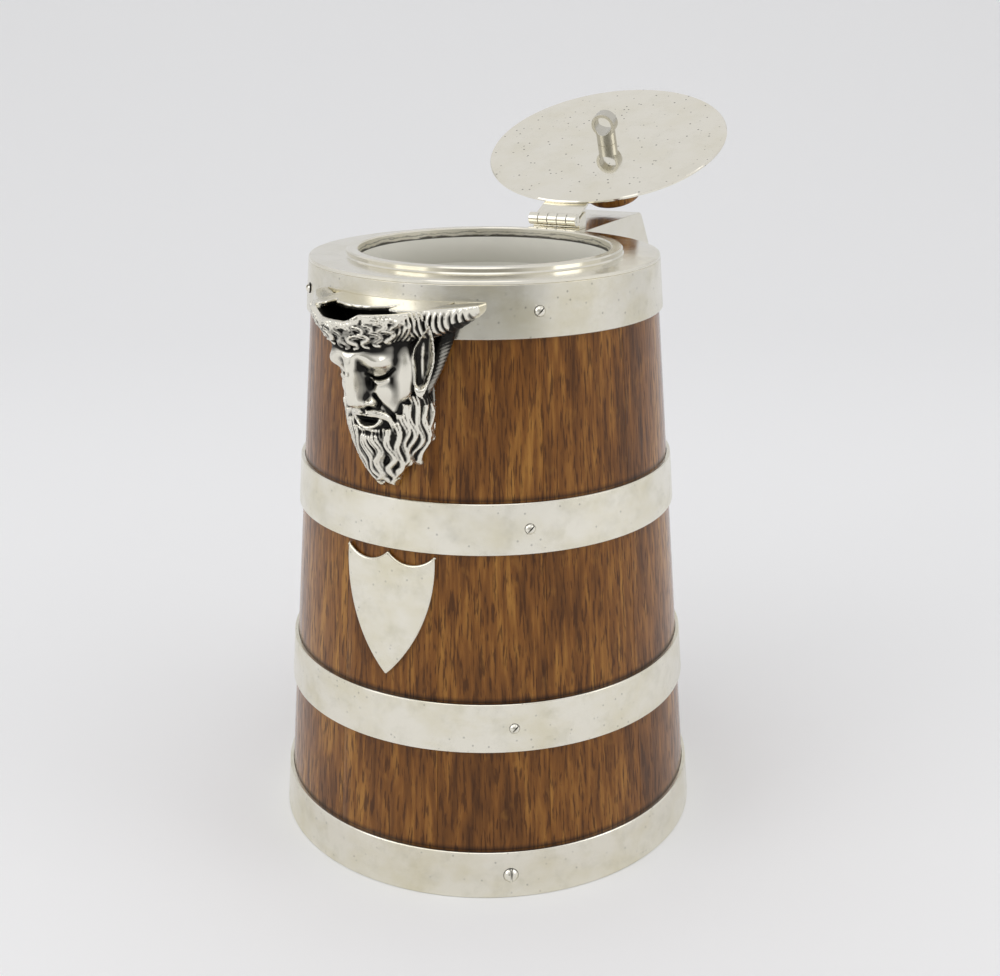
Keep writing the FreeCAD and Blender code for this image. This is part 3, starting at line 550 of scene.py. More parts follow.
class PITCHER_OT_lid(bpy.types.Operator):
    """Flat lid with its oak finial and eye nut"""
    bl_idname = "pitcher.lid"
    bl_label = "Lid"

    def execute(self, context):
        finishes = context.scene.pitcher_finishes
        worn = silver_plate(finishes, "silver_plate_lid", 0.035, specks=0.85)
        dressed("lid_disc", "lid", worn, 0.0)
        dull = oxidised_silver(finishes, "oxidised_silver_eye")
        eye = dressed("eye_nut", "lid", dull, EYE_EASE)
        layer = eye.data.attributes.new("tarnish", "FLOAT", "POINT")
        layer.data.foreach_set("value", [EYE_TARNISH] * len(eye.data.vertices))
        dressed("finial_stud", "lid", worn, 0.0)
        # The finial's grain runs along its axis, square to its largest face
        drum = eased_copy("finial", 0.0)
        layer = drum.attributes.new("grain", "FLOAT_VECTOR", "POINT")
        end = max(drum.polygons, key=lambda polygon: polygon.area)
        upright = end.normal.rotation_difference(Vector((0, 0, 1)))
        for vertex, value in zip(drum.vertices, layer.data):
            value.vector = upright @ vertex.co
        oak = fumed_oak(finishes, "fumed_oak_finial")
        finished("finial_drum", drum, "lid", oak, ["finial"])
        return {"FINISHED"}


class PITCHER_OT_shield(bpy.types.Operator):
    """Blank shield with a bevelled edge"""
    bl_idname = "pitcher.shield"
    bl_label = "Shield"

    def execute(self, context):
        finishes = context.scene.pitcher_finishes
        plate = silver_plate(finishes, "silver_plate_shield", 0.12, specks=0.3, tarnish=0.8)
        shield = eased_copy("shield_plaque", SHIELD_EASE, SHIELD_CORNER, clamp=False)
        weigh_normals(finished("shield_face", shield, "pitcher", plate, ["shield_plaque"]))
        dressed("shield_pins", "pitcher", plate, 0.0)
        return {"FINISHED"}


def screw_head():
    """Domed head of unit radius on +Z with a slot"""
    bm = bmesh.new()
    height, rings, around = 0.62, 7, 40
    slot_half, slot_depth = 0.15, 0.38
    ball = (1 + height ** 2) / (2 * height)
    lean = math.asin(1 / ball)
    rows = []
    for i in range(rings + 1):
        a = lean * (1 - i / rings)
        rows.append((ball * math.sin(a), height - ball + ball * math.cos(a)))
    rows.insert(0, (0.97, -0.08))
    loops = []
    for radius, z in rows[:-1]:
        loops.append([bm.verts.new((radius * math.cos(t), radius * math.sin(t), z))
                      for t in (2 * math.pi * k / around for k in range(around))])
    crown = bm.verts.new((0, 0, height))
    for low, high in zip(loops, loops[1:]):
        for k in range(around):
            bm.faces.new((low[k], low[(k + 1) % around], high[(k + 1) % around], high[k]))
    for k in range(around):
        bm.faces.new((loops[-1][k], loops[-1][(k + 1) % around], crown))
    bm.faces.new(list(reversed(loops[0])))
    mesh = bpy.data.meshes.new("screw_head")
    bm.to_mesh(mesh)
    bm.free()
    head = bpy.data.objects.new("screw_head", mesh)
    bpy.context.scene.collection.objects.link(head)
    cutter_mesh = bpy.data.meshes.new("screw_slot")
    bm = bmesh.new()
    above = Matrix.Translation((0, 0, height - slot_depth + 1))
    bmesh.ops.create_cube(bm, size=2.0, matrix=above @ Matrix.Diagonal((1.5, slot_half, 1.0, 1.0)))
    bm.to_mesh(cutter_mesh)
    bm.free()
    cutter = bpy.data.objects.new("screw_slot", cutter_mesh)
    bpy.context.scene.collection.objects.link(cutter)
    cut = head.modifiers.new("slot", "BOOLEAN")
    cut.operation = "DIFFERENCE"
    cut.object = cutter
    cut.solver = "EXACT"
    bpy.context.view_layer.update()
    graph = bpy.context.evaluated_depsgraph_get()
    slotted = bpy.data.meshes.new_from_object(head.evaluated_get(graph), depsgraph=graph)
    for made in (head, cutter):
        bpy.data.objects.remove(made)
    bm = bmesh.new()
    bm.from_mesh(slotted)
    shaded(bm)
    bm.to_mesh(slotted)
    bm.free()
    depth = slotted.attributes.new("tarnish", "FLOAT", "POINT")
    for vertex, value in zip(slotted.vertices, depth.data):
        sunk = abs(abs(vertex.co.y) - slot_half) < 0.01 and vertex.co.z < height - slot_depth + 0.02
        value.value = 1.0 if sunk or vertex.co.z < 0 else 0.25
    return bpy.data.objects.new("slotted_head", slotted)


# Height, first angle from the spout, count, head radius and slot angle of each band's screws
SCREW_ROWS = [
    ("rim_screws", 221.4 * MM, 42.0, 4, 2.0 * MM, 45.0),
    ("upper_hoop_screws", 144.5 * MM, 38.0, 3, 2.0 * MM, 45.0),
    ("lower_hoop_screws", 68.8 * MM, 33.0, 3, 2.0 * MM, 45.0),
    ("foot_hoop_screws", 9.35 * MM, 31.6, 3, 2.9 * MM, 90.0),
]


class PITCHER_OT_screws(bpy.types.Operator):
    """Slotted round-head screws of the bands and the handle's foot"""
    bl_idname = "pitcher.screws"
    bl_label = "Screws"

    def execute(self, context):
        sizes, finishes = context.scene.pitcher_sizes, context.scene.pitcher_finishes
        places, turns, scales, nodes = [], [], [], []
        tilt = math.atan((sizes.oak_foot_radius - sizes.oak_rim_radius) / RIM_HEIGHT)
        for node, z, first, count, radius, slot in SCREW_ROWS:
            nodes.append(node)
            reach = oak_radius(sizes, z) + sizes.band_stand
            for i in range(count):
                a = math.radians(first + 360 / count * i)
                places.append((reach * math.sin(a), -reach * math.cos(a), z))
                outward = Matrix.Rotation(a, 3, "Z") @ Matrix.Rotation(math.radians(90) - tilt, 3, "X")
                turn = outward @ Matrix.Rotation(math.radians(slot), 3, "Z")
                turns.append(tuple(turn.to_euler()))
                scales.append((radius,) * 3)
        points = bpy.data.meshes.new("screw_points")
        points.from_pydata(places, [], [])
        for name, values in (("turn", turns), ("size", scales)):
            layer = points.attributes.new(name, "FLOAT_VECTOR", "POINT")
            layer.data.foreach_set("vector", np.array(values, np.float32).ravel())
        silver = oxidised_silver(finishes, "worn_silver_screws")
        head = screw_head()
        made = run_tree(screw_tree(), points, {"Head": head, "Material": silver})
        bpy.data.objects.remove(head)
        finished("band_screws", made, "pitcher", silver, nodes)
        dressed("handle_foot_screws", "pitcher", silver, 0.0)
        return {"FINISHED"}


# Mask in its own frame: x across, reach out of the body, z up, in millimetres
MASK_LOW, MASK_HIGH = (-37.0, 57.0, 154.0), (37.0, 105.0, 228.0)
# Flat top, underside of the shelf behind the opening, and the dip that the wine pours over
MASK_TOP, SHELF_LOW, LIP_LOW = 225.0, 223.2, 222.4
# Lower end of the curls and upper end of the beard
CURLS_LOW, BEARD_HIGH = 209.0, 184.0
# Bare head at each height: half width, reach of its front, and depth from there to its widest place
HEAD_SECTIONS = [
    (154.0, 4.0, 73.0, 6.0), (157.5, 5.6, 74.0, 7.0), (160.0, 8.0, 76.5, 9.0),
    (165.0, 12.0, 79.2, 11.5), (170.5, 14.0, 81.2, 13.2), (176.0, 15.8, 83.0, 14.6),
    (181.0, 16.2, 84.4, 15.4), (186.0, 16.0, 85.8, 16.0), (190.0, 15.4, 87.4, 16.8),
    (195.0, 14.8, 89.2, 17.8), (200.0, 15.0, 90.8, 18.6), (205.0, 15.6, 92.2, 19.6),
    (211.0, 16.8, 94.8, 21.8), (217.0, 19.4, 97.2, 23.4), (221.0, 21.6, 98.6, 24.0),
    (228.0, 24.0, 100.2, 24.0),
]
# Front edge of the shelf: distance to either side of its middle, and reach
SHELF_EDGE = [
    (0.0, 83.5), (5.3, 82.8), (10.5, 80.0), (12.8, 76.2),
    (13.4, 84.6), (17.0, 85.6), (23.0, 83.5), (26.0, 80.0),
]
# Lower edge of the beard: side distance along the head and height of each tip and notch
BEARD_EDGE = [
    (-40, 192), (-27, 184), (-23, 176), (-19.5, 170), (-16.5, 165.2), (-13.5, 168.5), (-11, 167), (-8, 163),
    (-5, 161.5), (-2.3, 157.6), (1.3, 161.2), (5.0, 157.9), (8, 163), (11, 167), (13.5, 168.5), (16.5, 165.2),
    (19.5, 170), (23, 176), (27, 184), (40, 192),
]
# Locks of one side of the beard, from the ear to the chin: root, middle and tip
BEARD_LOCKS = [
    ((28.0, 197.0), (27.5, 187.0), (24.5, 178.0)), ((25.0, 197.5), (24.0, 185.0), (20.5, 171.0)),
    ((22.0, 196.5), (20.6, 183.0), (16.6, 165.6)), ((18.8, 194.0), (17.8, 180.5), (13.4, 168.4)),
    ((15.8, 191.0), (14.4, 178.0), (9.4, 164.0)), ((13.0, 187.4), (11.6, 175.5), (6.6, 162.0)),
    ((9.8, 184.6), (8.8, 172.5), (4.9, 158.6)), ((6.0, 182.4), (6.0, 170.5), (3.4, 161.0)),
    ((2.4, 182.0), (1.8, 169.5), (-2.0, 158.6)),
]
# One half of the moustache, and the rows of curls
WHISKER = [(1.2, 188.8), (4.8, 188.3), (8.2, 186.2), (10.0, 182.4), (9.4, 178.6)]
CURL_ROWS, CURLS_IN_ROW = 4, 11
# Place of each ear: distance beside the middle and reach
NEAR_EAR, FAR_EAR = (18.0, 79.6), (15.5, 73.0)


class Relief:
    """Height map over the head: side distance along its surface and height, in millimetres"""

    def __init__(self, step=0.2):
        self.step = step
        self.u = np.arange(-42, 42 + step, step)
        self.z = np.arange(MASK_LOW[2], MASK_HIGH[2] + step, step)
        self.high = np.zeros((len(self.u), len(self.z)))

    def window(self, points, pad):
        """Part of the map round a line"""
        points = np.array(points)
        ends = np.stack([points.min(0) - pad, points.max(0) + pad])
        spans = []
        for axis, pair in zip((self.u, self.z), ends.T):
            spans.append(slice(*np.clip(((pair - axis[0]) / self.step).astype(int), 0, len(axis))))
        i, j = spans
        return (i, j), self.u[i][:, None], self.z[j][None, :]

    def swell(self, u, z, wide, tall, height):
        """Raise or sink a soft round area"""
        part, uu, zz = self.window([(u, z)], 3 * max(wide, tall))
        self.high[part] += height * np.exp(-((uu - u) / wide) ** 2 - ((zz - z) / tall) ** 2)

    def along(self, points, pad):
        """Distance from a line and place along it, near the line"""
        part, uu, zz = self.window(points, pad)
        near = np.full((uu.shape[0], zz.shape[1]), 99.0)
        place = np.zeros_like(near)
        last = len(points) - 1
        for k, (a, b) in enumerate(zip(points, points[1:])):
            du, dz = b[0] - a[0], b[1] - a[1]
            t = np.clip(((uu - a[0]) * du + (zz - a[1]) * dz) / max(du * du + dz * dz, 1e-9), 0, 1)
            gap = np.hypot(uu - a[0] - du * t, zz - a[1] - dz * t)
            place = np.where(gap < near, (k + t) / last, place)
            near = np.minimum(near, gap)
        return part, near, place

    def line(self, points, width, height):
        """Soft ridge or groove along a smooth line"""
        part, near, _ = self.along(smooth_path(points, 6), 3 * width)
        self.high[part] += height * np.exp(-(near / width) ** 2)

    def strand(self, points, ground, width, height):
        """Round strand of hair that lies on the ground map and narrows towards both ends"""
        part, near, place = self.along(points, 2 * width)
        slim = width * (0.55 + 0.45 * np.sin(np.pi * np.clip(place * 0.86 + 0.1, 0, 1)))
        crown = height * np.sqrt(np.clip(1 - (near / slim) ** 2, 0, 1)) * (1 - 0.45 * place ** 2)
        laid = np.where(near < slim, ground[part] + crown, -99)
        self.high[part] = np.maximum(self.high[part], laid)

    def lock(self, points, ground, strands, spread, height, wave, turns, phase, rng):
        """Wavy lock of strands that come together at its tip"""
        path = np.array(smooth_path(points, 8))
        share = np.linspace(0, 1, len(path))
        ahead = np.gradient(path, axis=0)
        side = np.stack([-ahead[:, 1], ahead[:, 0]], 1)
        side /= np.maximum(np.linalg.norm(side, axis=1), 1e-6)[:, None]
        for s in range(strands):
            lane = s - (strands - 1) / 2
            swing = wave * np.sin(2 * np.pi * turns * share + phase + 0.25 * lane) * (0.35 + 0.65 * share)
            offset = lane * spread * (1 - 0.7 * share ** 2) + swing
            crown = height * (1 - 0.16 * lane ** 2) * (0.9 + 0.2 * rng.random())
            self.strand(path + side * offset[:, None], ground, 0.72 * spread, crown)

    def at(self, u, z):
        """Heights at places on the map"""
        i = np.clip((u - self.u[0]) / self.step, 0, len(self.u) - 1.001)
        j = np.clip((z - self.z[0]) / self.step, 0, len(self.z) - 1.001)
        i0, j0 = i.astype(int), j.astype(int)
        a, b = i - i0, j - j0
        low = self.high[i0, j0] * (1 - a) + self.high[i0 + 1, j0] * a
        high = self.high[i0, j0 + 1] * (1 - a) + self.high[i0 + 1, j0 + 1] * a
        return low * (1 - b) + high * b


class Clay:
    """Distance field on a lattice, in millimetres"""

    def __init__(self, low, high, step):
        self.low, self.step = np.array(low), step
        self.axes = [np.arange(a, b, step, dtype=np.float32) for a, b in zip(low, high)]
        self.field = np.full([len(a) for a in self.axes], 9.0, np.float32)

    def grid(self):
        """Coordinates of the lattice"""
        return np.meshgrid(*self.axes, indexing="ij", sparse=True)

    def join(self, shape, soft):
        """Add a shape's distances to the field with a soft seam"""
        h = np.clip(0.5 + 0.5 * (self.field - shape) / soft, 0, 1)
        self.field = self.field + (shape - self.field) * h - soft * h * (1 - h)

    def keep(self, shape):
        """Keep only what lies inside a shape"""
        self.field = np.maximum(self.field, shape)


def smooth_path(points, steps):
    """Points along a smooth line that runs through the given ones"""
    points = [np.array(p, float) for p in points]
    padded = [2 * points[0] - points[1]] + points + [2 * points[-1] - points[-2]]
    path = []
    for p0, p1, p2, p3 in zip(padded, padded[1:], padded[2:], padded[3:]):
        for t in np.arange(steps) / steps:
            path.append(0.5 * (2 * p1 + (p2 - p0) * t + (2 * p0 - 5 * p1 + 4 * p2 - p3) * t ** 2
                               + (3 * p1 - p0 - 3 * p2 + p3) * t ** 3))
    path.append(points[-1])
    return path


def head_place(x, reach, z):
    """Distance from the bare head and side distance along its surface"""
    table = np.array(HEAD_SECTIONS)
    half, front, depth = (np.interp(z, table[:, 0], table[:, k]) for k in (1, 2, 3))
    power = np.interp(z, [208, 220], [1.55, 2.0])
    side = np.abs(x) / half
    ahead = np.maximum(reach - front + depth, 0) / depth
    away = (side ** power + ahead ** power) ** (1 / power) - 1
    turn = np.arctan2(side, np.maximum(ahead, 1e-6))
    behind = np.maximum(front - depth - reach, 0)
    return away * np.minimum(half, depth) * 0.9, np.sign(x) * (turn * 0.48 * (half + depth) + behind)


def face_relief(relief):
    """Brows, closed eyes, nose, cheeks and mouth"""
    zz = relief.z[None, :]
    uu = relief.u[:, None]
    heights = [188.8, 190.4, 191.6, 193.4, 199, 203.5, 208, 212]
    bridge = np.interp(zz, heights, [0, 0.4, 4.0, 5.6, 4.8, 3.8, 2.0, 0])
    broad = np.interp(zz, [191, 194, 200, 205, 211], [1.9, 1.7, 1.35, 1.5, 3.0])
    relief.high += bridge / (1 + (np.abs(uu) / broad) ** 5)
    for side in (-1, 1):
        # Brow, cheek, the hollows round the eye and the temple
        relief.swell(side * 9.4, 207.6, 5.0, 3.4, 3.3)
        relief.swell(side * 4.8, 210.6, 3.4, 1.8, 0.8)
        relief.swell(side * 11.2, 196.4, 4.8, 4.6, 1.5)
        relief.swell(side * 4.4, 200.4, 1.7, 2.7, -2.2)
        relief.swell(side * 4.0, 205.4, 1.3, 1.2, -1.2)
        relief.swell(side * 18.0, 203.0, 2.6, 4.0, -1.2)
        relief.swell(side * 18.5, 214.5, 3.0, 3.0, -1.8)
        # Closed lid and the fold below it
        lid = [(4.0, 203.3), (7.2, 201.8), (11.0, 202.4), (14.2, 204.8)]
        relief.line([(side * u, z) for u, z in lid], 0.5, -1.5)
        relief.line([(side * 4.8, 201.6), (side * 7.6, 200.2), (side * 11.2, 201.0)], 0.75, 0.7)
        # Wing of the nose, nostril and the fold down to the mouth
        relief.swell(side * 3.6, 193.0, 1.5, 1.5, 2.6)
        relief.line([(side * 5.2, 195.6), (side * 6.1, 193.0), (side * 5.4, 191.0)], 0.6, -1.4)
        relief.swell(side * 1.9, 190.9, 0.8, 0.6, -1.6)
        relief.line([(side * 6.2, 192.6), (side * 8.8, 189.4), (side * 9.8, 186.0)], 0.8, -0.6)
        relief.swell(side * 8.2, 186.8, 2.4, 2.0, -0.4)
    # Chin, open mouth and lower lip
    relief.swell(0, 178.0, 4.5, 3.4, 0.8)
    relief.swell(0, 185.6, 3.2, 1.0, -2.6)
    relief.line([(-4.8, 185.8), (-2.7, 183.9), (0, 183.2), (2.7, 183.9), (4.8, 185.8)], 0.8, 1.8)
    relief.swell(0, 180.9, 4.0, 1.0, -1.2)


def hair_relief(relief, rng):
    """Curls over the forehead, flutes at the temples, the beard and the moustache"""
    uu, zz = relief.u[:, None], relief.z[None, :]
    hairy = np.clip((zz - 211.5 - 0.018 * uu ** 2) / 1.5, 0, 1)
    relief.high -= 0.9 * hairy
    bearded = np.clip((183.5 + 0.055 * uu ** 2 - zz) / 2.5, 0, 1)
    relief.high -= 0.4 * bearded * (np.abs(uu) < 30)
    ground = relief.high.copy()
    for row in range(CURL_ROWS):
        for i in range(CURLS_IN_ROW):
            u = (i - (CURLS_IN_ROW - 1) / 2) * 3.7 + (1.85 if row % 2 else 0) + 0.8 * (rng.random() - 0.5)
            top = 224.6 - 3.3 * row + 0.008 * u * u + 0.8 * (rng.random() - 0.5)
            if top - 4.4 < 211.0 + 0.016 * u * u or row == 3 and abs(u) < 7:
                continue
            way = math.copysign(1, u + 0.1) if rng.random() < 0.8 else -math.copysign(1, u + 0.1)
            points = [(u - way * 1.4, top), (u + way * 0.9, top - 0.7), (u + way * 1.5, top - 2.0),
                      (u - way * 0.4, top - 3.2), (u - way * 0.8, top - 4.2), (u + way * 0.9, top - 5.0)]
            relief.lock(points, ground, 3, 0.95, 1.8 + 0.7 * rng.random(), 0.0, 1.0, 0.0, rng)
    for side in (-1, 1):
        for k in range(7):
            u = 17.5 + 1.55 * k
            flute = [(u, 225.0), (u + 0.3, 221.0), (u - 0.4, 217.6), (u - 2.0, 214.6)]
            path = smooth_path([(side * across, z) for across, z in flute], 6)
            relief.strand(np.array(path), ground, 0.75, 1.7)
        for k, points in enumerate(BEARD_LOCKS):
            path = [(side * u, z) for u, z in points]
            relief.lock(path, ground, 4, 1.1, 2.2, 1.7, 1.9 + 0.2 * (k % 3), 1.9 * k + side, rng)
        path = [(side * u, z) for u, z in WHISKER]
        relief.lock(path, ground, 3, 0.95, 1.7, 0.25, 1.0, side, rng)


def ear_distance(x, reach, z, side):
    """Distances from a pointed ear and the cheek that carries it; one ear lies closer to the head"""
    beside, forward = NEAR_EAR if side > 0 else FAR_EAR
    across = (side * x - beside) * 0.74 - (reach - forward) * 0.67
    out = (side * x - beside) * 0.67 + (reach - forward) * 0.74
    heights = [194.6, 195.5, 197.3, 199.8, 202.8, 205.9, 208.9, 212.0, 215.6, 218.1, 220.6]
    left = np.interp(z, heights, [-0.5, -1.5, -2.2, -2.2, -2.0, -2.3, -2.7, -2.4, -0.6, 0.9, 2.1])
    right = np.interp(z, heights, [-0.2, 0.9, 1.9, 3.0, 4.0, 4.8, 5.0, 4.6, 4.0, 3.2, 2.2])
    edge = np.maximum(left - across, across - right)
    inset = np.clip(-edge / 1.6, 0, 1)
    ridge = np.exp(-((across - 1.2) / 0.5) ** 2) * np.clip((z - 199) / 5, 0, 1) * np.clip((216 - z) / 4, 0, 1)
    lobe = np.clip((199.5 - z) / 2.5, 0, 1)
    lean = 0.46 * np.clip(z - 208, 0, 13)
    front = 1.4 + lean - 2.9 * inset * (1 - lobe) + 0.6 * ridge
    leaf = np.maximum(np.maximum(edge * 0.9, np.abs(z - 207.6) - 13.0), np.maximum(out - front, -5.2 - out))
    cheek = np.sqrt((across + 4.8) ** 2 + (out + 3.3) ** 2 + ((z - 204.5) * 0.4) ** 2) - 4.4
    return leaf, cheek


def horn_distance(x, reach, z, side):
    """Ribbed horn from the forehead to the rim band"""
    along = side * x
    t = np.clip((along - 10.0) / 23.6, -0.2, 1.0)
    stations = [8, 15.5, 21, 27, 33.6]
    middle = np.interp(along, stations, [85.5, 81.4, 76.6, 70.0, 62.4])
    height = np.interp(along, stations, [222.0, 221.0, 220.4, 221.4, 224.2])
    radius = np.interp(along, stations, [5.4, 5.7, 6.0, 5.2, 2.6])
    phase = (t * 17.0) % 1.0 - 0.5
    shown = np.clip((224.2 - z) / 1.6, 0, 1)
    flute = 1 - 0.2 * np.exp(-(phase / 0.2) ** 2) * shown
    gap = np.sqrt(((reach - middle) * 0.74) ** 2 + (z - height) ** 2)
    return np.maximum(np.maximum(gap - radius * flute, along - 33.4), 9.0 - along)


def mane_distance(x, reach, z, side):
    """Ribbed strip that runs down behind the ear"""
    middle = np.interp(z, [191.5, 201, 210, 220], [14.6, 18.4, 21.2, 24.0])
    depth = np.interp(z, [191.5, 201, 210, 220], [72.0, 71.0, 70.0, 68.6])
    radius = np.interp(z, [191.5, 196, 206, 220], [0.8, 2.0, 3.0, 3.8])
    phase = ((z - 0.5 * side * x) / 1.2) % 1.0 - 0.5
    flute = 1 - 0.09 * np.exp(-(phase / 0.25) ** 2)
    gap = np.sqrt((side * x - middle) ** 2 + (reach - depth) ** 2)
    return np.maximum(gap - radius * flute, np.abs(z - 205.5) - 14.5)


def model_mask(clay, sizes, rng):
    """Model the whole mask and give back the distances from the bowl inside it"""
    x, reach, z = clay.grid()
    relief = Relief()
    face_relief(relief)
    hair_relief(relief, rng)
    # Head with its relief, which fades at the rim
    bare, around = head_place(x, reach, z)
    rim = np.clip((z - 223.0) / 2.0, 0, 1)
    clay.field = ((bare - relief.at(around, z) * (1 - 0.4 * rim)) * 0.8).astype(np.float32)
    edge = np.array(BEARD_EDGE)
    clay.keep((np.interp(around, edge[:, 0], edge[:, 1]) - z) * 0.6)
    # Bowl, open to the passage from the liner
    wall = np.interp(z, [199, 212, 219, 224], [4.6, 4.0, 2.2, 1.6])
    oak = oak_radius(sizes, z * MM) / MM + 0.1
    away = np.sqrt(x ** 2 + reach ** 2) - oak
    passage = np.maximum(np.maximum(np.abs(x) - 11.0, np.abs(z - 211.0) - 6.0), -reach)
    bowl = np.maximum(np.maximum(bare + wall, 204.0 - z), np.minimum(5.5 - away, passage))
    clay.keep(-bowl)
    # Pouring lip and the shelf behind it, both off the middle
    dip = LIP_LOW + (MASK_TOP - LIP_LOW) * np.clip((np.abs(x + 5.0) - 5.0) / 6.0, 0, 1) ** 1.3
    clay.keep(np.minimum(z - dip, reach - 87.5))
    limits = np.array(SHELF_EDGE)
    plan = np.maximum(reach - np.interp(np.abs(x + 4.0), limits[:, 0], limits[:, 1]), bare)
    shelf = np.maximum(plan, np.abs(z - (SHELF_LOW + MASK_TOP) / 2) - (MASK_TOP - SHELF_LOW) / 2)
    clay.field = np.minimum(clay.field, shelf)
    for side in (-1, 1):
        clay.join(mane_distance(x, reach, z, side), 0.4)
        clay.join(np.maximum(horn_distance(x, reach, z, side), -bowl), 0.4)
        leaf, cheek = ear_distance(x, reach, z, side)
        clay.join(np.maximum(cheek, -bowl), 2.0)
        clay.join(np.maximum(leaf, -bowl), 0.5)
    # Flat top, and the seat on the oak and the rim band
    clay.keep(z - MASK_TOP)
    stand = np.where(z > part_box("rim_band")[0].z / MM - 0.1, sizes.band_stand / MM, 0.0)
    clay.keep(stand - away)
    clay.field = clay.field.astype(np.float32)
    return bowl


def surface_net(clay):
    """Vertices and faces where the field is zero: one vertex in each cell that the surface crosses"""
    field = clay.field
    shape = np.array(field.shape) - 1
    total = np.zeros((*shape, 3), np.float32)
    hits = np.zeros(shape, np.float32)
    for axis in range(3):
        others = [a for a in range(3) if a != axis]
        for corner in itertools.product((0, 1), repeat=2):
            offset = [0, 0, 0]
            offset[others[0]], offset[others[1]] = corner
            near = tuple(slice(o, o + n) for o, n in zip(offset, shape))
            offset[axis] = 1
            far = tuple(slice(o, o + n) for o, n in zip(offset, shape))
            a, b = field[near], field[far]
            crossed = (a < 0) != (b < 0)
            share = np.where(crossed, a / np.where(crossed, a - b, 1), 0)
            total[..., axis] += share
            for other, value in zip(others, corner):
                total[..., other] += crossed * value
            hits += crossed
    used = hits > 0
    number = np.full(shape, -1, np.int64)
    number[used] = np.arange(used.sum())
    cells = np.argwhere(used)
    vertices = clay.low + (cells + total[used] / hits[used][:, None]) * clay.step
    faces = []
    for axis in range(3):
        u, v = [(1, 2), (2, 0), (0, 1)][axis]
        low = [1, 1, 1]
        low[axis] = 0
        first = tuple(slice(l, n) for l, n in zip(low, shape))
        after = list(first)
        after[axis] = slice(1, shape[axis] + 1)
        a, b = field[first], field[tuple(after)]
        for flip, crossed in ((False, (a < 0) & (b >= 0)), (True, (a >= 0) & (b < 0))):
            at = np.argwhere(crossed) + low
            ring = []
            for du, dv in ((0, 0), (-1, 0), (-1, -1), (0, -1)):
                cell = at.copy()
                cell[:, u] += du
                cell[:, v] += dv
                ring.append(number[tuple(cell.T)])
            faces.append(np.stack(ring[::-1] if flip else ring, 1))
    return vertices, np.concatenate(faces)


def hollowness(clay, vertices, radius):
    """Share of solid round each vertex: about a half on a flat face and more in a recess"""
    solid = np.clip(0.5 - clay.field / clay.step, 0, 1)
    reach = max(int(round(radius / clay.step)), 1)
    for axis in range(3):
        pad = [(0, 0)] * 3
        pad[axis] = (reach + 1, reach)
        run = np.cumsum(np.pad(solid, pad, mode="edge"), axis=axis)
        size = solid.shape[axis]
        high = np.take(run, np.arange(size) + 2 * reach + 1, axis=axis)
        low = np.take(run, np.arange(size), axis=axis)
        solid = (high - low) / (2 * reach + 1)
    place = (vertices - clay.low) / clay.step
    cell = np.clip(place.astype(int), 0, np.array(solid.shape) - 2)
    share = place - cell
    total = np.zeros(len(vertices))
    for corner in itertools.product((0, 1), repeat=3):
        weight = np.prod(np.where(corner, share, 1 - share), axis=1)
        total += weight * solid[tuple((cell + corner).T)]
    return total


def mask_tarnish(clay, vertices, bowl):
    """Tarnish at each vertex: low where the silver is rubbed bright and high in the recesses"""
    fine = hollowness(clay, vertices, 0.9)
    broad = hollowness(clay, vertices, 2.4)
    tarnish = np.clip(2.0 * (fine - 0.5) + 2.4 * (broad - 0.5) + 0.45, 0, 1)
    beside, reach, height = np.abs(vertices[:, 0]), vertices[:, 1], vertices[:, 2]
    mane = (beside > 14) & (reach < 75.0) & (height > 190) & (height < 220)
    # Curls and beard are less rubbed than the smooth skin
    curls = np.clip((height - CURLS_LOW) / 4, 0, 1) * np.clip((SHELF_LOW - height) / 1.5, 0, 1)
    beard = np.clip((BEARD_HIGH - height) / 4, 0, 1)
    tarnish = tarnish + 0.5 * mane + 0.2 * curls + 0.1 * beard
    cells = np.clip(np.round((vertices - clay.low) / clay.step).astype(int), 0, np.array(bowl.shape) - 1)
    inside = (bowl[tuple(cells.T)] < 0.4) & (height < SHELF_LOW - 0.2)
    return np.where(inside, 1.0, tarnish).astype(np.float32)


def drop_crumbs(bm):
    """Keep the largest connected piece only"""
    pieces, seen = [], set()
    for start in bm.verts:
        if start in seen:
            continue
        piece, queue = {start}, [start]
        while queue:
            for edge in queue.pop().link_edges:
                for vert in edge.verts:
                    if vert not in piece:
                        piece.add(vert)
                        queue.append(vert)
        seen |= piece
        pieces.append(piece)
    pieces.sort(key=len)
    for piece in pieces[:-1]:
        bmesh.ops.delete(bm, geom=list(piece), context="VERTS")


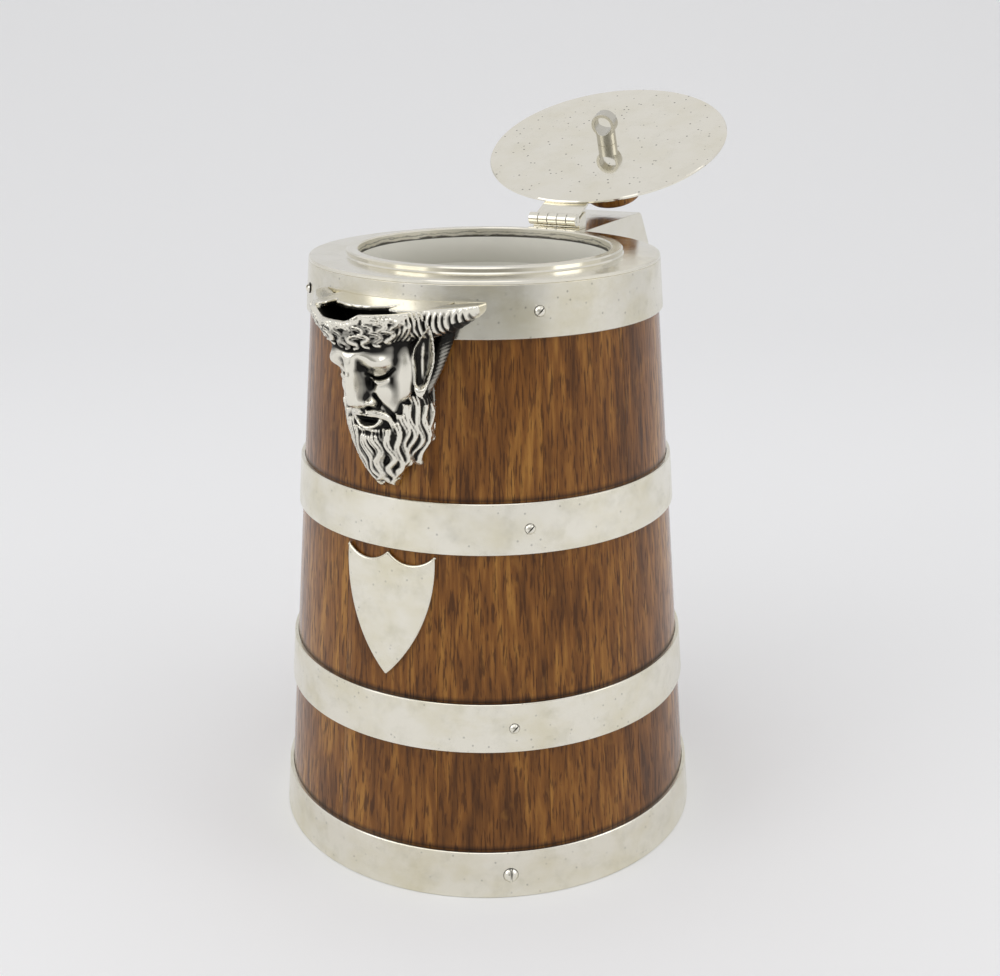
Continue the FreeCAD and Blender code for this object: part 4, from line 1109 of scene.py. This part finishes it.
class PITCHER_OT_mask(bpy.types.Operator):
    """Cast satyr mask that pours over its forehead"""
    bl_idname = "pitcher.mask"
    bl_label = "Mask spout"

    def execute(self, context):
        sizes, finishes = context.scene.pitcher_sizes, context.scene.pitcher_finishes
        rng = np.random.default_rng(7)
        clay = Clay(MASK_LOW, MASK_HIGH, sizes.mask_grain / MM)
        bowl = model_mask(clay, sizes, rng)
        vertices, faces = surface_net(clay)
        turn = np.array(Matrix.Rotation(SPOUT_TURN, 3, "Z"))
        placed = np.stack([vertices[:, 0], -vertices[:, 1], vertices[:, 2]], 1) * MM @ turn.T
        mesh = bpy.data.meshes.new("satyr_mask")
        mesh.from_pydata(placed.tolist(), [], faces[:, ::-1].tolist())
        mesh.update()
        layer = mesh.attributes.new("tarnish", "FLOAT", "POINT")
        layer.data.foreach_set("value", mask_tarnish(clay, vertices, bowl))
        bm = bmesh.new()
        bm.from_mesh(mesh)
        drop_crumbs(bm)
        bmesh.ops.smooth_vert(bm, verts=bm.verts, factor=0.35, use_axis_x=True, use_axis_y=True,
                              use_axis_z=True)
        bmesh.ops.recalc_face_normals(bm, faces=bm.faces)
        for face in bm.faces:
            face.smooth = True
        bm.to_mesh(mesh)
        bm.free()
        cast = oxidised_silver(finishes, "oxidised_cast_silver")
        finished("satyr_mask", mesh, "pitcher", cast, ["mask_spout", "mask_pins"])
        return {"FINISHED"}


# Camera of the photograph, found from the pitcher's rims
CAMERA_LENS = 48.83
CAMERA_TURN = math.radians(26.0)
CAMERA_DISTANCE = 525.4 * MM
CAMERA_HEIGHT = 312.9 * MM
CAMERA_PITCH = math.radians(18.68)
CAMERA_YAW = math.radians(0.612)
CAMERA_ROLL = math.radians(-0.186)

# Paper sweep in metres: half width, reach to the front and the back, radius of the bend and height behind it
PAPER_SIDE, PAPER_FRONT, PAPER_BACK, PAPER_BEND, PAPER_HEIGHT = 5.0, 2.4, 0.9, 0.9, 1.2
BEND_STEPS = 24

# Soft boxes seen from the camera's side: place, size and power in watts; all point at the pitcher's middle
LAMPS = [
    ("softbox_left", (-1.3, -0.7, 1.0), (0.9, 1.2), 4.0),
    ("softbox_right", (1.4, -0.5, 0.9), (0.8, 1.2), 3.2),
    ("softbox_top", (-0.2, -0.7, 1.7), (1.2, 1.2), 2.6),
]
LAMP_AIM = Vector((0, 0, 0.13))


def lay_paper(scene, finishes):
    """Matt paper that runs back from the pitcher and bends up behind it"""
    paper, _, shader = new_material("backdrop_paper")
    shader.inputs["Base Color"].default_value = linear(finishes.paper)
    shader.inputs["Roughness"].default_value = 0.9
    shader.inputs["Specular IOR Level"].default_value = 0.1
    rows = [(-PAPER_FRONT, 0.0), (PAPER_BACK, 0.0)]
    for k in range(1, BEND_STEPS + 1):
        a = math.radians(90) * k / BEND_STEPS
        rows.append((PAPER_BACK + PAPER_BEND * math.sin(a), PAPER_BEND * (1 - math.cos(a))))
    rows.append((PAPER_BACK + PAPER_BEND, PAPER_HEIGHT))
    bm = bmesh.new()
    lines = [[bm.verts.new((side * PAPER_SIDE, y, z)) for side in (-1, 1)] for y, z in rows]
    for a, b in zip(lines, lines[1:]):
        bm.faces.new((a[0], a[1], b[1], b[0])).smooth = True
    mesh = bpy.data.meshes.new("paper_sweep")
    bm.to_mesh(mesh)
    bm.free()
    mesh.transform(Matrix.Rotation(CAMERA_TURN, 4, "Z"))
    mesh.materials.append(paper)
    sweep = bpy.data.objects.new("paper_sweep", mesh)
    scene.collection.objects.link(sweep)


def hang_tent(scene, finishes):
    """Pale cloth all round, dimmer on the side that the camera stands in"""
    world = bpy.data.worlds.new("studio")
    scene.world = world
    world.use_nodes = True
    sky = world.node_tree
    way = add_node(sky, "ShaderNodeTexCoord").outputs["Generated"]
    front = tuple(Matrix.Rotation(CAMERA_TURN, 3, "Z") @ Vector((0, -1, 0)))
    facing = add_node(sky, "ShaderNodeVectorMath", {0: way, 1: front}, operation="DOT_PRODUCT")
    stops = [(0.72, linear(finishes.tent)), (0.94, linear(finishes.tent_gap))]
    tent = add_node(sky, "ShaderNodeValToRGB", {0: facing.outputs["Value"]}, stops=stops)
    sky.links.new(tent.outputs[0], sky.nodes["Background"].inputs["Color"])


def set_lamps(scene):
    """Soft boxes round the pitcher"""
    for name, place, size, power in LAMPS:
        lamp = bpy.data.lights.new(name, "AREA")
        lamp.shape = "RECTANGLE"
        lamp.size, lamp.size_y = size
        lamp.energy = power
        holder = bpy.data.objects.new(name, lamp)
        scene.collection.objects.link(holder)
        spot = Matrix.Rotation(CAMERA_TURN, 4, "Z") @ Vector(place)
        aim = (LAMP_AIM - spot).to_track_quat("-Z", "Y").to_matrix().to_4x4()
        holder.matrix_world = Matrix.Translation(spot) @ aim


def set_camera(scene):
    """Camera where the photograph was taken from"""
    camera = bpy.data.cameras.new("camera")
    camera.lens = CAMERA_LENS
    camera.sensor_width = 36.0
    camera.clip_start = 0.01
    holder = bpy.data.objects.new("camera", camera)
    scene.collection.objects.link(holder)
    stand = Matrix.Translation((0, -CAMERA_DISTANCE, CAMERA_HEIGHT))
    look = Matrix.Rotation(-CAMERA_YAW, 4, "Z") @ Matrix.Rotation(math.radians(90) - CAMERA_PITCH, 4, "X")
    around = Matrix.Rotation(CAMERA_TURN, 4, "Z") @ stand
    holder.matrix_world = around @ look @ Matrix.Rotation(CAMERA_ROLL, 4, "Z")
    scene.camera = holder


class PITCHER_OT_stage(bpy.types.Operator):
    """Pale paper sweep, soft studio light and the camera"""
    bl_idname = "pitcher.stage"
    bl_label = "Stage"

    def execute(self, context):
        scene = context.scene
        scene.view_settings.view_transform = "Standard"
        lay_paper(scene, scene.pitcher_finishes)
        hang_tent(scene, scene.pitcher_finishes)
        set_lamps(scene)
        set_camera(scene)
        return {"FINISHED"}


class PITCHER_PT_panel(bpy.types.Panel):
    """Lists the pitcher's pieces"""
    bl_label = "Oak pitcher"
    bl_idname = "PITCHER_PT_panel"
    bl_space_type = "VIEW_3D"
    bl_region_type = "UI"
    bl_category = "Pitcher"

    def draw(self, context):
        for group in (context.scene.pitcher_sizes, context.scene.pitcher_finishes):
            for name in group.__annotations__:
                self.layout.prop(group, name)
        for operator in OPERATORS:
            self.layout.operator(operator.bl_idname)


OPERATORS = (PITCHER_OT_staves, PITCHER_OT_bands, PITCHER_OT_handle, PITCHER_OT_lid, PITCHER_OT_shield,
             PITCHER_OT_screws, PITCHER_OT_mask, PITCHER_OT_stage)
CLASSES = (PitcherSizes, PitcherFinishes) + OPERATORS + (PITCHER_PT_panel,)


def register():
    """Add the classes and the scene's settings"""
    for item in CLASSES:
        bpy.utils.register_class(item)
    bpy.types.Scene.pitcher_sizes = bpy.props.PointerProperty(type=PitcherSizes)
    bpy.types.Scene.pitcher_finishes = bpy.props.PointerProperty(type=PitcherFinishes)


def unregister():
    """Remove what register added"""
    del bpy.types.Scene.pitcher_finishes
    del bpy.types.Scene.pitcher_sizes
    for item in reversed(CLASSES):
        bpy.utils.unregister_class(item)


def main():
    """Build every piece"""
    register()
    for operator in OPERATORS:
        group, name = operator.bl_idname.split(".")
        getattr(getattr(bpy.ops, group), name)()


if __name__ == "__main__":
    main()
